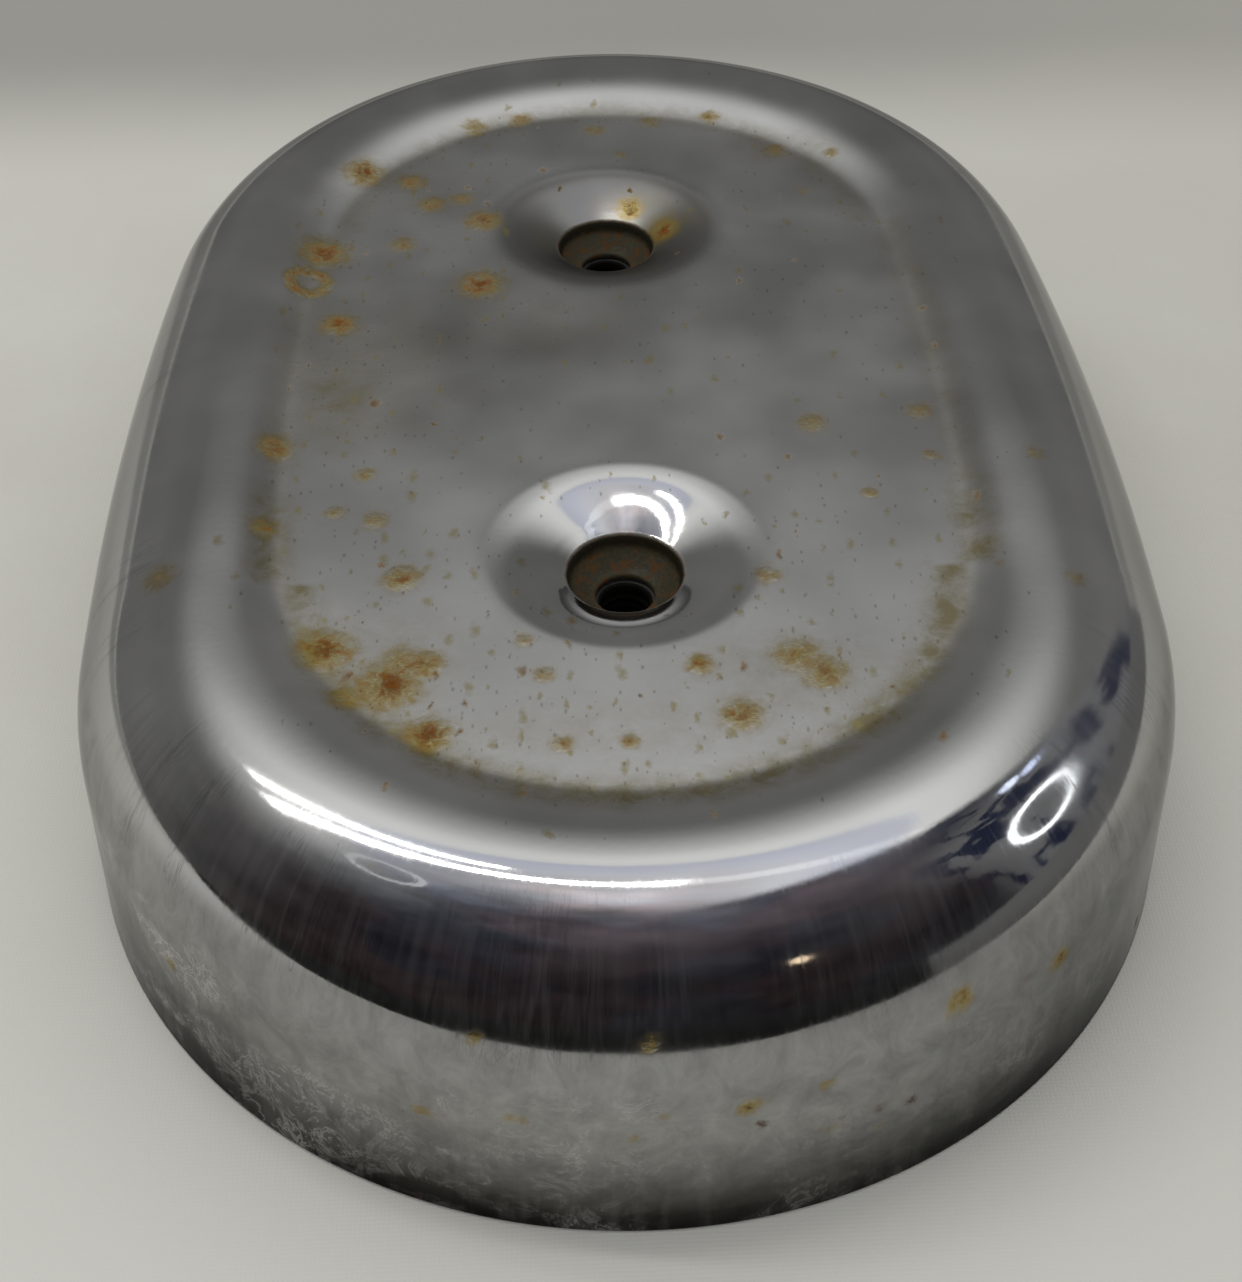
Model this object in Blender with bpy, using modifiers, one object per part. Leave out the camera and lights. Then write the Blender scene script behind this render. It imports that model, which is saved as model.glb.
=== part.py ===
"""Oblong motorcycle air cleaner: a chromed pressed-steel cover over a pleated
element, an air horn and a pressed backing plate.

Frame: metres, +Z up. The part lies rim down, so the plane z = 0 is the cover's
rim and the backing plate's skirt. The long axis is Y, and the cover's two
screw holes lie on it. On the engine, -Z is the carburettor side.

Run with: blender --background --python part.py
"""

import bpy
import bmesh
from math import atan2, cos, hypot, pi, radians, sin, sqrt, tan

MM = 0.001

# ---------------------------------------------------------------- dimensions
# All in millimetres.

# Cover: plan outline at the rim. Two end arcs of radius COVER_R, centred at
# y = +-COVER_C, joined by long bowed side arcs that reach x = +-COVER_W.
COVER_R = 77.0
COVER_C = 40.5
COVER_W = 78.5
COVER_H = 45.0            # rim to crest
COVER_T = 1.0             # sheet thickness
WALL_H = 23.5             # height of the plain side wall
WALL_DRAFT = 1.4          # how far the wall leans in over that height
SHOULDER_A = 23.6         # plan width of the rounded shoulder
SHOULDER_Q = 2.1          # its superellipse exponent
PANEL_Z = 42.7            # sunk panel on top
PANEL_INSET = 30.8        # panel border, in from the rim outline
PANEL_SHIFT = 4.1         # its end arcs' centres lie this much nearer the middle

# Screw seats in the panel.
SEAT_Y = 41.8             # half the hole spacing
DISH_R = 18.2             # soft dish round each seat
LIP_R = 8.1               # mouth of the countersink
LIP_Z = 39.0
SEAT_R = 7.4              # foot of the countersink's upper wall
SEAT_Z = 36.9
HOLE_R = 4.05             # clearance hole for an M8 or 5/16 in screw
HOLE_Z = 35.0

# Backing plate: a shallow tray, its skirt turned towards the engine.
PLATE_R = 68.0
PLATE_C = 40.5
PLATE_W = 69.5
PLATE_TOP = 11.2
PLATE_T = 1.2
PLATE_BEND = 2.6

# Filter element outline (outer face of its end caps).
ELEM_R = 44.5
ELEM_C = 36.4
ELEM_W = 46.0
ELEM_DEPTH = 10.2         # radial depth of the ring
ELEM_Z0 = 11.5            # underside of the lower seal
ELEM_Z1 = 41.4            # top of the upper seal
SEAL_T = 2.0
CAP_T = 0.6
CAP_LIP = 3.6             # how far a cap's flanges reach over the screens
PLEATS = 64
PAPER_T = 0.7

# Air horn and carburettor joint.
BORE_R = 18.0
HORN_T = 1.2
HORN_LIP_R = 24.4
HORN_TOP = 28.0
HORN_FLANGE_T = 1.5
SCREW_PCR = 28.0          # carburettor screws' pitch radius
SCREW_ANGLES = (15.0, 135.0, 255.0)
SCREW_R = 3.0
SCREW_HOLE_R = 3.3

# Cover posts.
POST_AF = 12.0
POST_TOP = 32.0
STUD_R = 3.9
STUD_HOLE_R = 4.2

# Crankcase breather.
BREATHER_X = 20.0
BREATHER_Y = -46.0
BREATHER_R = 4.75
BREATHER_BORE = 3.5
GROMMET_HOLE_R = 7.3

GAP = 0.3                 # clearance between touching pieces
END_SEGS = 20
SIDE_SEGS = 4

# ---------------------------------------------------------------- scene set-up
for old in list(bpy.data.objects):
    bpy.data.objects.remove(old, do_unlink=True)

scene = bpy.context.scene
parts = bpy.data.collections.new("oblong_air_cleaner")
scene.collection.children.link(parts)
cutters = bpy.data.collections.new("cutters")
scene.collection.children.link(cutters)


def make_material(name, rgb, roughness, metallic):
    mat = bpy.data.materials.new(name)
    mat.use_nodes = True
    bsdf = mat.node_tree.nodes["Principled BSDF"]
    bsdf.inputs["Base Color"].default_value = (*rgb, 1.0)
    bsdf.inputs["Roughness"].default_value = roughness
    bsdf.inputs["Metallic"].default_value = metallic
    mat.diffuse_color = (*rgb, 1.0)
    return mat


CHROME = ((0.62, 0.62, 0.64), 0.12, 1.0)
PLATE_PAINT = ((0.035, 0.036, 0.038), 0.45, 0.0)
ALLOY = ((0.60, 0.61, 0.62), 0.38, 1.0)
ZINC = ((0.55, 0.56, 0.58), 0.35, 1.0)
GALV = ((0.50, 0.51, 0.52), 0.5, 1.0)
RUBBER = ((0.03, 0.03, 0.03), 0.75, 0.0)
FIBRE = ((0.13, 0.11, 0.09), 0.85, 0.0)
PAPER = ((0.62, 0.50, 0.30), 0.9, 0.0)


# ---------------------------------------------------------------- geometry helpers
def outline(r_end, c, w):
    """Points of the bowed oblong, anticlockwise from the -Y end of the right side.

    The side arcs are tangent to the end arcs, which fixes their radius.
    """
    r_side = (w * w + c * c - r_end * r_end) / (2.0 * (w - r_end))
    xc = r_side - w
    t = atan2(c, xc)
    pts = []
    for k in range(SIDE_SEGS):
        a = -t + 2 * t * k / SIDE_SEGS
        pts.append((-xc + r_side * cos(a), r_side * sin(a)))
    for k in range(END_SEGS):
        a = t + (pi - 2 * t) * k / END_SEGS
        pts.append((r_end * cos(a), c + r_end * sin(a)))
    half = len(pts)
    return pts + [(-x, -y) for x, y in pts[:half]]


def circle(r, cx=0.0, cy=0.0, n=32, phase=0.0):
    return [(cx + r * cos(phase + 2 * pi * k / n), cy + r * sin(phase + 2 * pi * k / n)) for k in range(n)]


def inset_ring(r_end, c, w, inset, z, shift=0.0):
    return [(x, y, z) for x, y in outline(r_end - inset, c - shift, w - inset)]


def smooth(mesh, angle=32.0):
    mesh.shade_smooth()
    mesh.set_sharp_from_angle(angle=radians(angle))


def finish(name, bm, look, location=(0, 0, 0), cutter=False):
    """Write a bmesh, given in millimetres, to a new object."""
    bmesh.ops.scale(bm, vec=(MM, MM, MM), verts=bm.verts)
    bmesh.ops.recalc_face_normals(bm, faces=bm.faces)
    mesh = bpy.data.meshes.new(name)
    bm.to_mesh(mesh)
    bm.free()
    smooth(mesh)
    obj = bpy.data.objects.new(name, mesh)
    obj.location = [v * MM for v in location]
    if cutter:
        cutters.objects.link(obj)
        obj.hide_render = True
        obj.display_type = "WIRE"
    else:
        parts.objects.link(obj)
        mesh.materials.append(make_material(name, *look))
    return obj


def loft(name, rings, look=None, closed=False, cutter=False):
    """Skin a row of equal-count rings; cap both ends unless the row is closed."""
    bm = bmesh.new()
    rows = [[bm.verts.new(p) for p in ring] for ring in rings]
    n = len(rows[0])
    pairs = list(zip(rows, rows[1:]))
    if closed:
        pairs.append((rows[-1], rows[0]))
    for lower, upper in pairs:
        for k in range(n):
            j = (k + 1) % n
            bm.faces.new((lower[k], lower[j], upper[j], upper[k]))
    if not closed:
        bm.faces.new(rows[0])
        bm.faces.new(list(reversed(rows[-1])))
    return finish(name, bm, look, cutter=cutter)


def turned(name, profile, look=None, location=(0, 0, 0), segments=32, cutter=False):
    """A Screw-modifier solid. profile runs down its outer side, top to bottom.

    A profile that starts and ends on the axis stays open there; a ring's is closed.
    """
    mesh = bpy.data.meshes.new(name)
    verts = [(r * MM, 0.0, z * MM) for r, z in profile]
    edges = [(k, k + 1) for k in range(len(verts) - 1)]
    if profile[0][0] > 0 or profile[-1][0] > 0:
        edges.append((len(verts) - 1, 0))
    mesh.from_pydata(verts, edges, [])
    obj = bpy.data.objects.new(name, mesh)
    obj.location = [v * MM for v in location]
    mod = obj.modifiers.new("turn", "SCREW")
    mod.steps = mod.render_steps = segments
    mod.angle = 2 * pi
    mod.use_merge_vertices = True
    mod.merge_threshold = 0.00001
    mod.use_smooth_shade = True
    mod.use_normal_calculate = False
    if cutter:
        cutters.objects.link(obj)
        obj.hide_render = True
        obj.display_type = "WIRE"
    else:
        parts.objects.link(obj)
        mesh.materials.append(make_material(name, *look))
    return obj


def turned_mesh(name, profile, look=None, location=(0, 0, 0), segments=32, cutter=False):
    """The same turned shape, with its Screw applied, ready for a Boolean."""
    temp = turned(name + "_profile", profile, look or ZINC, location, segments)
    depsgraph = bpy.context.evaluated_depsgraph_get()
    mesh = bpy.data.meshes.new_from_object(temp.evaluated_get(depsgraph), depsgraph=depsgraph)
    bpy.data.objects.remove(temp, do_unlink=True)
    bm = bmesh.new()
    bm.from_mesh(mesh)
    bmesh.ops.remove_doubles(bm, verts=bm.verts, dist=0.00001)
    bmesh.ops.scale(bm, vec=(1 / MM, 1 / MM, 1 / MM), verts=bm.verts)
    bpy.data.meshes.remove(mesh)
    return finish(name, bm, look, location, cutter)


def cylinder(name, r, z0, z1, look=None, location=(0, 0, 0), segments=32, cutter=False, spin=0.0):
    bm = bmesh.new()
    bmesh.ops.create_cone(bm, cap_ends=True, segments=segments, radius1=r, radius2=r, depth=z1 - z0)
    bmesh.ops.translate(bm, vec=(0, 0, (z0 + z1) / 2), verts=bm.verts)
    obj = finish(name, bm, look, location, cutter)
    obj.rotation_euler[2] = spin
    return obj


def boolean(obj, tool, operation):
    mod = obj.modifiers.new(tool.name, "BOOLEAN")
    mod.object = tool
    mod.operation = operation
    mod.solver = "EXACT"
    return mod


def hex_blank(name, flats, z0, z1, look=None, location=(0, 0, 0), top=True, bottom=False, cutter=False, spin=0.0):
    """A hexagon bar with 30 degree turned chamfers on the ends that show."""
    corner = flats / sqrt(3.0)
    obj = cylinder(name, corner, z0, z1, look, location, 6, cutter, spin)
    drop = (corner - flats / 2 * 0.96) * tan(radians(30))
    inner = flats / 2 * 0.96
    outer = corner * 1.02
    rim = [(0.0, z1), (inner, z1), (outer, z1 - drop)] if top else [(0.0, z1 + 1), (outer, z1 + 1)]
    foot = [(outer, z0 + drop), (inner, z0), (0.0, z0)] if bottom else [(outer, z0 - 1), (0.0, z0 - 1)]
    tool = turned_mesh(name + "_chamfer", rim + foot, None, location, 24, cutter=True)
    boolean(obj, tool, "INTERSECT")
    return obj


def hull(points):
    """Convex hull, anticlockwise."""
    pts = sorted(set(points))

    def half(seq):
        out = []
        for p in seq:
            while len(out) > 1 and ((out[-1][0] - out[-2][0]) * (p[1] - out[-2][1])
                                    - (out[-1][1] - out[-2][1]) * (p[0] - out[-2][0])) <= 1e-9:
                out.pop()
            out.append(p)
        return out[:-1]

    return half(pts) + half(reversed(pts))


def flat_plate(name, loops, z0, z1, look):
    """A flat blank with holes: a filled 2D curve, extruded by half its thickness."""
    curve = bpy.data.curves.new(name, "CURVE")
    curve.dimensions = "2D"
    curve.fill_mode = "BOTH"
    curve.extrude = (z1 - z0) / 2 * MM
    for loop in loops:
        spline = curve.splines.new("POLY")
        spline.points.add(len(loop) - 1)
        for point, (x, y) in zip(spline.points, loop):
            point.co = (x * MM, y * MM, 0.0, 1.0)
        spline.use_cyclic_u = True
    temp = bpy.data.objects.new(name + "_curve", curve)
    scene.collection.objects.link(temp)
    depsgraph = bpy.context.evaluated_depsgraph_get()
    mesh = bpy.data.meshes.new_from_object(temp.evaluated_get(depsgraph), depsgraph=depsgraph)
    bpy.data.objects.remove(temp, do_unlink=True)
    bm = bmesh.new()
    bm.from_mesh(mesh)
    bmesh.ops.remove_doubles(bm, verts=bm.verts, dist=0.000005)
    bmesh.ops.scale(bm, vec=(1 / MM, 1 / MM, 1 / MM), verts=bm.verts)
    bmesh.ops.translate(bm, vec=(0, 0, (z0 + z1) / 2), verts=bm.verts)
    bpy.data.meshes.remove(mesh)
    return finish(name, bm, look)


def screw_points():
    return [(SCREW_PCR * cos(radians(a)), SCREW_PCR * sin(radians(a))) for a in SCREW_ANGLES]


# ---------------------------------------------------------------- cover
def cover_profile():
    """Outer face from the rim up the wall, over the shoulder to the panel border.

    Each point is (inset from the rim outline, z, shift of the end centres).
    """
    crest = WALL_DRAFT + SHOULDER_A
    pts = [(0.0, 0.0, 0.0), (0.0, 1.2, 0.0)]             # a square-cut rim
    steps = 7
    for k in range(steps + 1):                           # wall top and shoulder
        a = pi / 2 * k / steps
        inset = WALL_DRAFT + SHOULDER_A * (1 - max(cos(a), 0.0) ** (2 / SHOULDER_Q))
        z = WALL_H + (COVER_H - WALL_H) * sin(a) ** (2 / SHOULDER_Q)
        pts.append((inset, z, 0.0))
    for k in range(1, 5):                                # sunk panel's soft edge
        u = k / 4
        s = u * u * (3 - 2 * u)
        pts.append((crest + (PANEL_INSET - crest) * u, COVER_H + (PANEL_Z - COVER_H) * s, PANEL_SHIFT * u))
    return pts


def seat_profile(steps=4):
    """Dish, countersink and hole: (radius, z) from the dish's edge to the hole.

    The dish steepens evenly from its soft edge to the countersink's mouth.
    """
    pts = [(DISH_R + (LIP_R - DISH_R) * k / steps, PANEL_Z + (LIP_Z - PANEL_Z) * (k / steps) ** 1.7)
           for k in range(steps + 1)]
    return pts + [(LIP_R - 0.45, LIP_Z - 0.55), (SEAT_R, SEAT_Z), (HOLE_R + 0.9, HOLE_Z), (HOLE_R, HOLE_Z)]


def cover_skin():
    """The pressing's outer face as one open sheet; Solidify gives it the metal's thickness."""
    bm = bmesh.new()

    def strip(a, b):
        for k in range(len(a)):
            j = (k + 1) % len(a)
            bm.faces.new((a[k], a[j], b[j], b[k]))

    def loop_edges(row):
        return [bm.edges.get((row[k], row[(k + 1) % len(row)])) for k in range(len(row))]

    rows = [[bm.verts.new(p) for p in inset_ring(COVER_R, COVER_C, COVER_W, *step)] for step in cover_profile()]
    for a, b in zip(rows, rows[1:]):
        strip(a, b)
    border = loop_edges(rows[-1])
    for side in (-1, 1):
        seat = [[bm.verts.new((x, y, z)) for x, y in circle(r, 0.0, side * SEAT_Y, 28)] for r, z in seat_profile()]
        for a, b in zip(seat, seat[1:]):
            strip(a, b)
        border += loop_edges(seat[0])
    bmesh.ops.triangle_fill(bm, use_beauty=True, edges=border)
    bmesh.ops.recalc_face_normals(bm, faces=bm.faces)
    bm.faces.ensure_lookup_table()
    if max(bm.faces, key=lambda f: f.calc_center_median().z).normal.z < 0:
        bmesh.ops.reverse_faces(bm, faces=bm.faces)
    bmesh.ops.scale(bm, vec=(MM, MM, MM), verts=bm.verts)
    mesh = bpy.data.meshes.new("cover_shell")
    bm.to_mesh(mesh)
    bm.free()
    smooth(mesh)
    mesh.materials.append(make_material("cover_shell", *CHROME))
    obj = bpy.data.objects.new("cover_shell", mesh)
    parts.objects.link(obj)
    mod = obj.modifiers.new("sheet", "SOLIDIFY")
    mod.thickness = COVER_T * MM
    mod.offset = -1.0
    mod.use_even_offset = True
    mod.use_quality_normals = True
    return obj


cover = cover_skin()

# ---------------------------------------------------------------- backing plate
def plate_section():
    """(inset from the plate outline, z) from the bead round the element out to the skirt."""
    b = PLATE_BEND
    skirt = [(0.0, PLATE_TOP - b), (0.0, 0.0)]
    bend = [(b * (1 - sin(a)), PLATE_TOP - b + b * cos(a)) for a in (0.0, pi / 6, pi / 3)]
    return bend + skirt


def bead_rings(z, rise):
    """The pressed locating bead just outside the element, as rings of its own outline."""
    spec = [(0.9, 0.0), (1.7, 0.75), (2.7, 1.0), (3.7, 0.75), (4.5, 0.0)]
    return [inset_ring(ELEM_R, ELEM_C, ELEM_W, -grow, z + rise * f) for grow, f in spec]


top = bead_rings(PLATE_TOP, 1.2)
top += [inset_ring(PLATE_R, PLATE_C, PLATE_W, i, z) for i, z in plate_section()]
under = [inset_ring(PLATE_R, PLATE_C, PLATE_W, PLATE_T, 0.0),
         inset_ring(PLATE_R, PLATE_C, PLATE_W, PLATE_T, PLATE_TOP - PLATE_BEND),
         inset_ring(PLATE_R, PLATE_C, PLATE_W, PLATE_T + 0.45, PLATE_TOP - PLATE_T - 0.45),
         inset_ring(PLATE_R, PLATE_C, PLATE_W, PLATE_BEND, PLATE_TOP - PLATE_T)]
under += list(reversed(bead_rings(PLATE_TOP - PLATE_T, 1.2)))
plate = loft("backing_plate", top + under, PLATE_PAINT)

boolean(plate, cylinder("plate_bore", BORE_R + 0.4, 0.0, 20.0, segments=36, cutter=True), "DIFFERENCE")
for k, (x, y) in enumerate(screw_points(), 1):
    boolean(plate, cylinder("plate_screw_hole_%d" % k, SCREW_HOLE_R, 5.0, 20.0, location=(x, y, 0), segments=24, cutter=True), "DIFFERENCE")
for label, side in (("front", -1), ("rear", 1)):
    boolean(plate, cylinder("plate_post_hole_" + label, STUD_HOLE_R, 5.0, 20.0, location=(0, side * SEAT_Y, 0), segments=24, cutter=True), "DIFFERENCE")
boolean(plate, cylinder("plate_grommet_hole", GROMMET_HOLE_R, 5.0, 20.0, location=(BREATHER_X, BREATHER_Y, 0), segments=32, cutter=True), "DIFFERENCE")

# ---------------------------------------------------------------- carburettor joint
flange_outline = hull(circle(23.0, n=36) + [p for x, y in screw_points() for p in circle(7.0, x, y, 20)])
screw_loops = [circle(SCREW_HOLE_R, x, y, 16) for x, y in screw_points()]

flat_plate("carburettor_gasket", [flange_outline, circle(BORE_R + 0.8, n=36)] + screw_loops,
           PLATE_TOP - PLATE_T - GAP - 1.0, PLATE_TOP - PLATE_T - GAP, FIBRE)

FLANGE_Z0 = PLATE_TOP + GAP
FLANGE_Z1 = FLANGE_Z0 + HORN_FLANGE_T
horn = flat_plate("intake_horn", [flange_outline, circle(BORE_R + HORN_T / 2, n=36)] + screw_loops, FLANGE_Z0, FLANGE_Z1, ALLOY)


def horn_profile():
    """Throat, quarter-ellipse bell and rolled lip."""
    steps = 5
    z_bell = 16.0
    inner = [(BORE_R + (HORN_LIP_R - BORE_R) * (1 - cos(pi / 2 * k / steps)),
              z_bell + (HORN_TOP - z_bell) * sin(pi / 2 * k / steps)) for k in range(steps + 1)]
    outer = [(BORE_R + HORN_T + (HORN_LIP_R - BORE_R - 0.3) * (1 - cos(pi / 2 * k / steps)),
              z_bell + (HORN_TOP - 1.5 - z_bell) * sin(pi / 2 * k / steps)) for k in range(steps + 1)]
    lip = [(HORN_LIP_R + 0.7, HORN_TOP - 0.2), (HORN_LIP_R + 1.0, HORN_TOP - 0.8)]
    down = [inner[-1]] + lip + list(reversed(outer)) + [(BORE_R + HORN_T, FLANGE_Z0), (BORE_R, FLANGE_Z0)]
    return down + inner[:-1]


boolean(horn, turned_mesh("horn_bell", horn_profile(), None, (0, 0, 0), 36, cutter=True), "UNION")

HEAD_Z0 = FLANGE_Z1 + GAP + 1.2 + GAP
for k, (x, y) in enumerate(screw_points(), 1):
    spin = radians(SCREW_ANGLES[k - 1] + 12.0 * k)
    washer = turned_mesh("horn_lockwasher_%d" % k,
                         [(5.0, FLANGE_Z1 + GAP + 1.2), (5.0, FLANGE_Z1 + GAP), (SCREW_HOLE_R, FLANGE_Z1 + GAP), (SCREW_HOLE_R, FLANGE_Z1 + GAP + 1.2)],
                         ZINC, (x, y, 0), 28)
    slit = cylinder("horn_lockwasher_slit_%d" % k, 4.0, FLANGE_Z1 - 2, FLANGE_Z1 + 6, location=(x, y, 0), segments=4, cutter=True)
    slit.scale = (1.0, 0.14, 1.0)
    slit.location = ((x + 4.2 * cos(spin)) * MM, (y + 4.2 * sin(spin)) * MM, 0.0)
    slit.rotation_euler[2] = spin + 0.2
    boolean(washer, slit, "DIFFERENCE")

    head = hex_blank("horn_screw_%d" % k, 10.0, HEAD_Z0, HEAD_Z0 + 4.0, ZINC, (x, y, 0), top=True, spin=spin)
    shank = turned_mesh("horn_screw_shank_%d" % k,
                        [(0.0, HEAD_Z0 + 1.0), (SCREW_R, HEAD_Z0 + 1.0), (SCREW_R, 1.6), (SCREW_R - 0.7, 0.9), (0.0, 0.9)],
                        None, (x, y, 0), 20, cutter=True)
    boolean(head, shank, "UNION")

# ---------------------------------------------------------------- cover posts
for label, side in (("front", -1), ("rear", 1)):
    at = (0.0, side * SEAT_Y, 0.0)
    spin = radians(14.0 if side < 0 else 37.0)
    post = hex_blank("cover_post_" + label, POST_AF, PLATE_TOP + GAP, POST_TOP, ZINC, at, top=True, bottom=True, spin=spin)
    stud = turned_mesh("post_stud_" + label,
                       [(0.0, PLATE_TOP + 4), (STUD_R, PLATE_TOP + 4), (STUD_R, 2.2), (STUD_R - 0.7, 1.5), (0.0, 1.5)],
                       None, at, 24, cutter=True)
    boolean(post, stud, "UNION")
    drill = turned_mesh("post_drill_" + label,
                        [(0.0, POST_TOP + 1), (HOLE_R - 0.25 + 1.0, POST_TOP + 1), (HOLE_R - 0.25 + 1.0, POST_TOP + 0.01), (HOLE_R - 0.75, POST_TOP - 0.5), (HOLE_R - 0.75, POST_TOP - 14), (0.0, POST_TOP - 16)],
                        None, at, 24, cutter=True)
    boolean(post, drill, "DIFFERENCE")

    turned("post_seal_" + label,
           [(6.3, POST_TOP + GAP + 1.3), (6.3, POST_TOP + GAP), (3.9, POST_TOP + GAP), (3.9, POST_TOP + GAP + 1.3)],
           RUBBER, at, 28)

    under_web = PLATE_TOP - PLATE_T
    washer = turned_mesh("post_lockwasher_" + label,
                         [(6.6, under_web - GAP), (6.6, under_web - GAP - 1.3), (STUD_HOLE_R, under_web - GAP - 1.3), (STUD_HOLE_R, under_web - GAP)],
                         ZINC, at, 28)
    slit = cylinder("post_lockwasher_slit_" + label, 4.0, 4.0, 14.0, segments=4, cutter=True)
    slit.scale = (1.0, 0.14, 1.0)
    slit.location = ((at[0] + 5.4 * cos(spin)) * MM, (at[1] + 5.4 * sin(spin)) * MM, 0.0)
    slit.rotation_euler[2] = spin + 0.2
    boolean(washer, slit, "DIFFERENCE")

    nut_top = under_web - GAP - 1.3 - GAP
    nut = hex_blank("post_nut_" + label, 13.0, nut_top - 4.8, nut_top, ZINC, at, top=True, bottom=True, spin=-spin)
    boolean(nut, cylinder("post_nut_bore_" + label, STUD_R + 0.25, 0.0, 14.0, location=at, segments=24, cutter=True), "DIFFERENCE")

# ---------------------------------------------------------------- crankcase breather
at = (BREATHER_X, BREATHER_Y, 0.0)
turned("breather_grommet",
       [(8.6, 13.6), (9.2, 13.0), (9.2, PLATE_TOP + GAP), (GROMMET_HOLE_R - GAP, PLATE_TOP + GAP),
        (GROMMET_HOLE_R - GAP, PLATE_TOP - PLATE_T - GAP), (9.2, PLATE_TOP - PLATE_T - GAP), (9.2, 8.0), (8.6, 7.4),
        (BREATHER_R + GAP, 7.4), (BREATHER_R + GAP, 13.6)],
       RUBBER, at, 20)
turned("breather_tube",
       [(BREATHER_R, 21.0), (BREATHER_R, 15.6), (BREATHER_R + 0.9, 15.1), (BREATHER_R + 0.9, 14.4), (BREATHER_R, 13.9),
        (BREATHER_R, 3.6), (BREATHER_R + 0.6, 3.0), (BREATHER_R + 0.6, 2.2), (BREATHER_R - 0.2, 0.8),
        (BREATHER_BORE, 0.8), (BREATHER_BORE, 21.0)],
       ZINC, at, 20)

# ---------------------------------------------------------------- filter element
def element_ring(name, section, look):
    """A closed section of (inset, z) carried round the element's outline."""
    return loft(name, [inset_ring(ELEM_R, ELEM_C, ELEM_W, i, z) for i, z in section], look, closed=True)


D = ELEM_DEPTH
element_ring("element_bottom_seal", [(0.4, ELEM_Z0), (0.4, ELEM_Z0 + SEAL_T), (D - 0.4, ELEM_Z0 + SEAL_T), (D - 0.4, ELEM_Z0)], RUBBER)
cap0 = ELEM_Z0 + SEAL_T + GAP
element_ring("element_bottom_cap",
             [(0.0, cap0), (0.0, cap0 + CAP_LIP + CAP_T), (CAP_T, cap0 + CAP_LIP + CAP_T), (CAP_T, cap0 + CAP_T),
              (D - CAP_T, cap0 + CAP_T), (D - CAP_T, cap0 + CAP_LIP + CAP_T), (D, cap0 + CAP_LIP + CAP_T), (D, cap0)], GALV)
element_ring("element_top_seal", [(0.4, ELEM_Z1 - SEAL_T), (0.4, ELEM_Z1), (D - 0.4, ELEM_Z1), (D - 0.4, ELEM_Z1 - SEAL_T)], RUBBER)
cap1 = ELEM_Z1 - SEAL_T - GAP
element_ring("element_top_cap",
             [(0.0, cap1), (D, cap1), (D, cap1 - CAP_LIP - CAP_T), (D - CAP_T, cap1 - CAP_LIP - CAP_T), (D - CAP_T, cap1 - CAP_T),
              (CAP_T, cap1 - CAP_T), (CAP_T, cap1 - CAP_LIP - CAP_T), (0.0, cap1 - CAP_LIP - CAP_T)], GALV)

BODY_Z0 = cap0 + CAP_T + GAP
BODY_Z1 = cap1 - CAP_T - GAP


def even_outline(inset, count):
    """Points and outward normals spaced evenly along an inset element outline."""
    ring = outline(ELEM_R - inset, ELEM_C, ELEM_W - inset)
    loop = ring + [ring[0]]
    run = [0.0]
    for a, b in zip(loop, loop[1:]):
        run.append(run[-1] + hypot(b[0] - a[0], b[1] - a[1]))
    out = []
    k = 0
    for j in range(count):
        s = run[-1] * j / count
        while run[k + 1] < s:
            k += 1
        f = (s - run[k]) / (run[k + 1] - run[k])
        a, b = loop[k], loop[k + 1]
        tx, ty = b[0] - a[0], b[1] - a[1]
        length = hypot(tx, ty)
        out.append(((a[0] + tx * f, a[1] + ty * f), (ty / length, -tx / length)))
    return out


def screen(name, inset, thickness):
    """Punched sheet sleeve: an open band with two rows of windows, given thickness by Solidify."""
    count = 48
    mid = (BODY_Z0 + BODY_Z1) / 2
    levels = [BODY_Z0, BODY_Z0 + 4.4, mid - 1.2, mid + 1.2, BODY_Z1 - 4.4, BODY_Z1]
    bm = bmesh.new()
    pts = even_outline(inset + thickness / 2, count)
    rows = [[bm.verts.new((p[0][0], p[0][1], z)) for p in pts] for z in levels]
    for r in range(len(levels) - 1):
        for k in range(count):
            if r in (1, 3) and k % 2:
                continue                                  # a window
            j = (k + 1) % count
            bm.faces.new((rows[r][k], rows[r][j], rows[r + 1][j], rows[r + 1][k]))
    bmesh.ops.scale(bm, vec=(MM, MM, MM), verts=bm.verts)
    mesh = bpy.data.meshes.new(name)
    bm.to_mesh(mesh)
    bm.free()
    smooth(mesh)
    obj = bpy.data.objects.new(name, mesh)
    parts.objects.link(obj)
    mesh.materials.append(make_material(name, *GALV))
    mod = obj.modifiers.new("thickness", "SOLIDIFY")
    mod.thickness = thickness * MM
    mod.offset = 0.0
    mod.use_even_offset = True
    return obj


screen("element_outer_screen", 0.9, 0.5)
screen("element_inner_screen", D - 1.4, 0.5)


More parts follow.
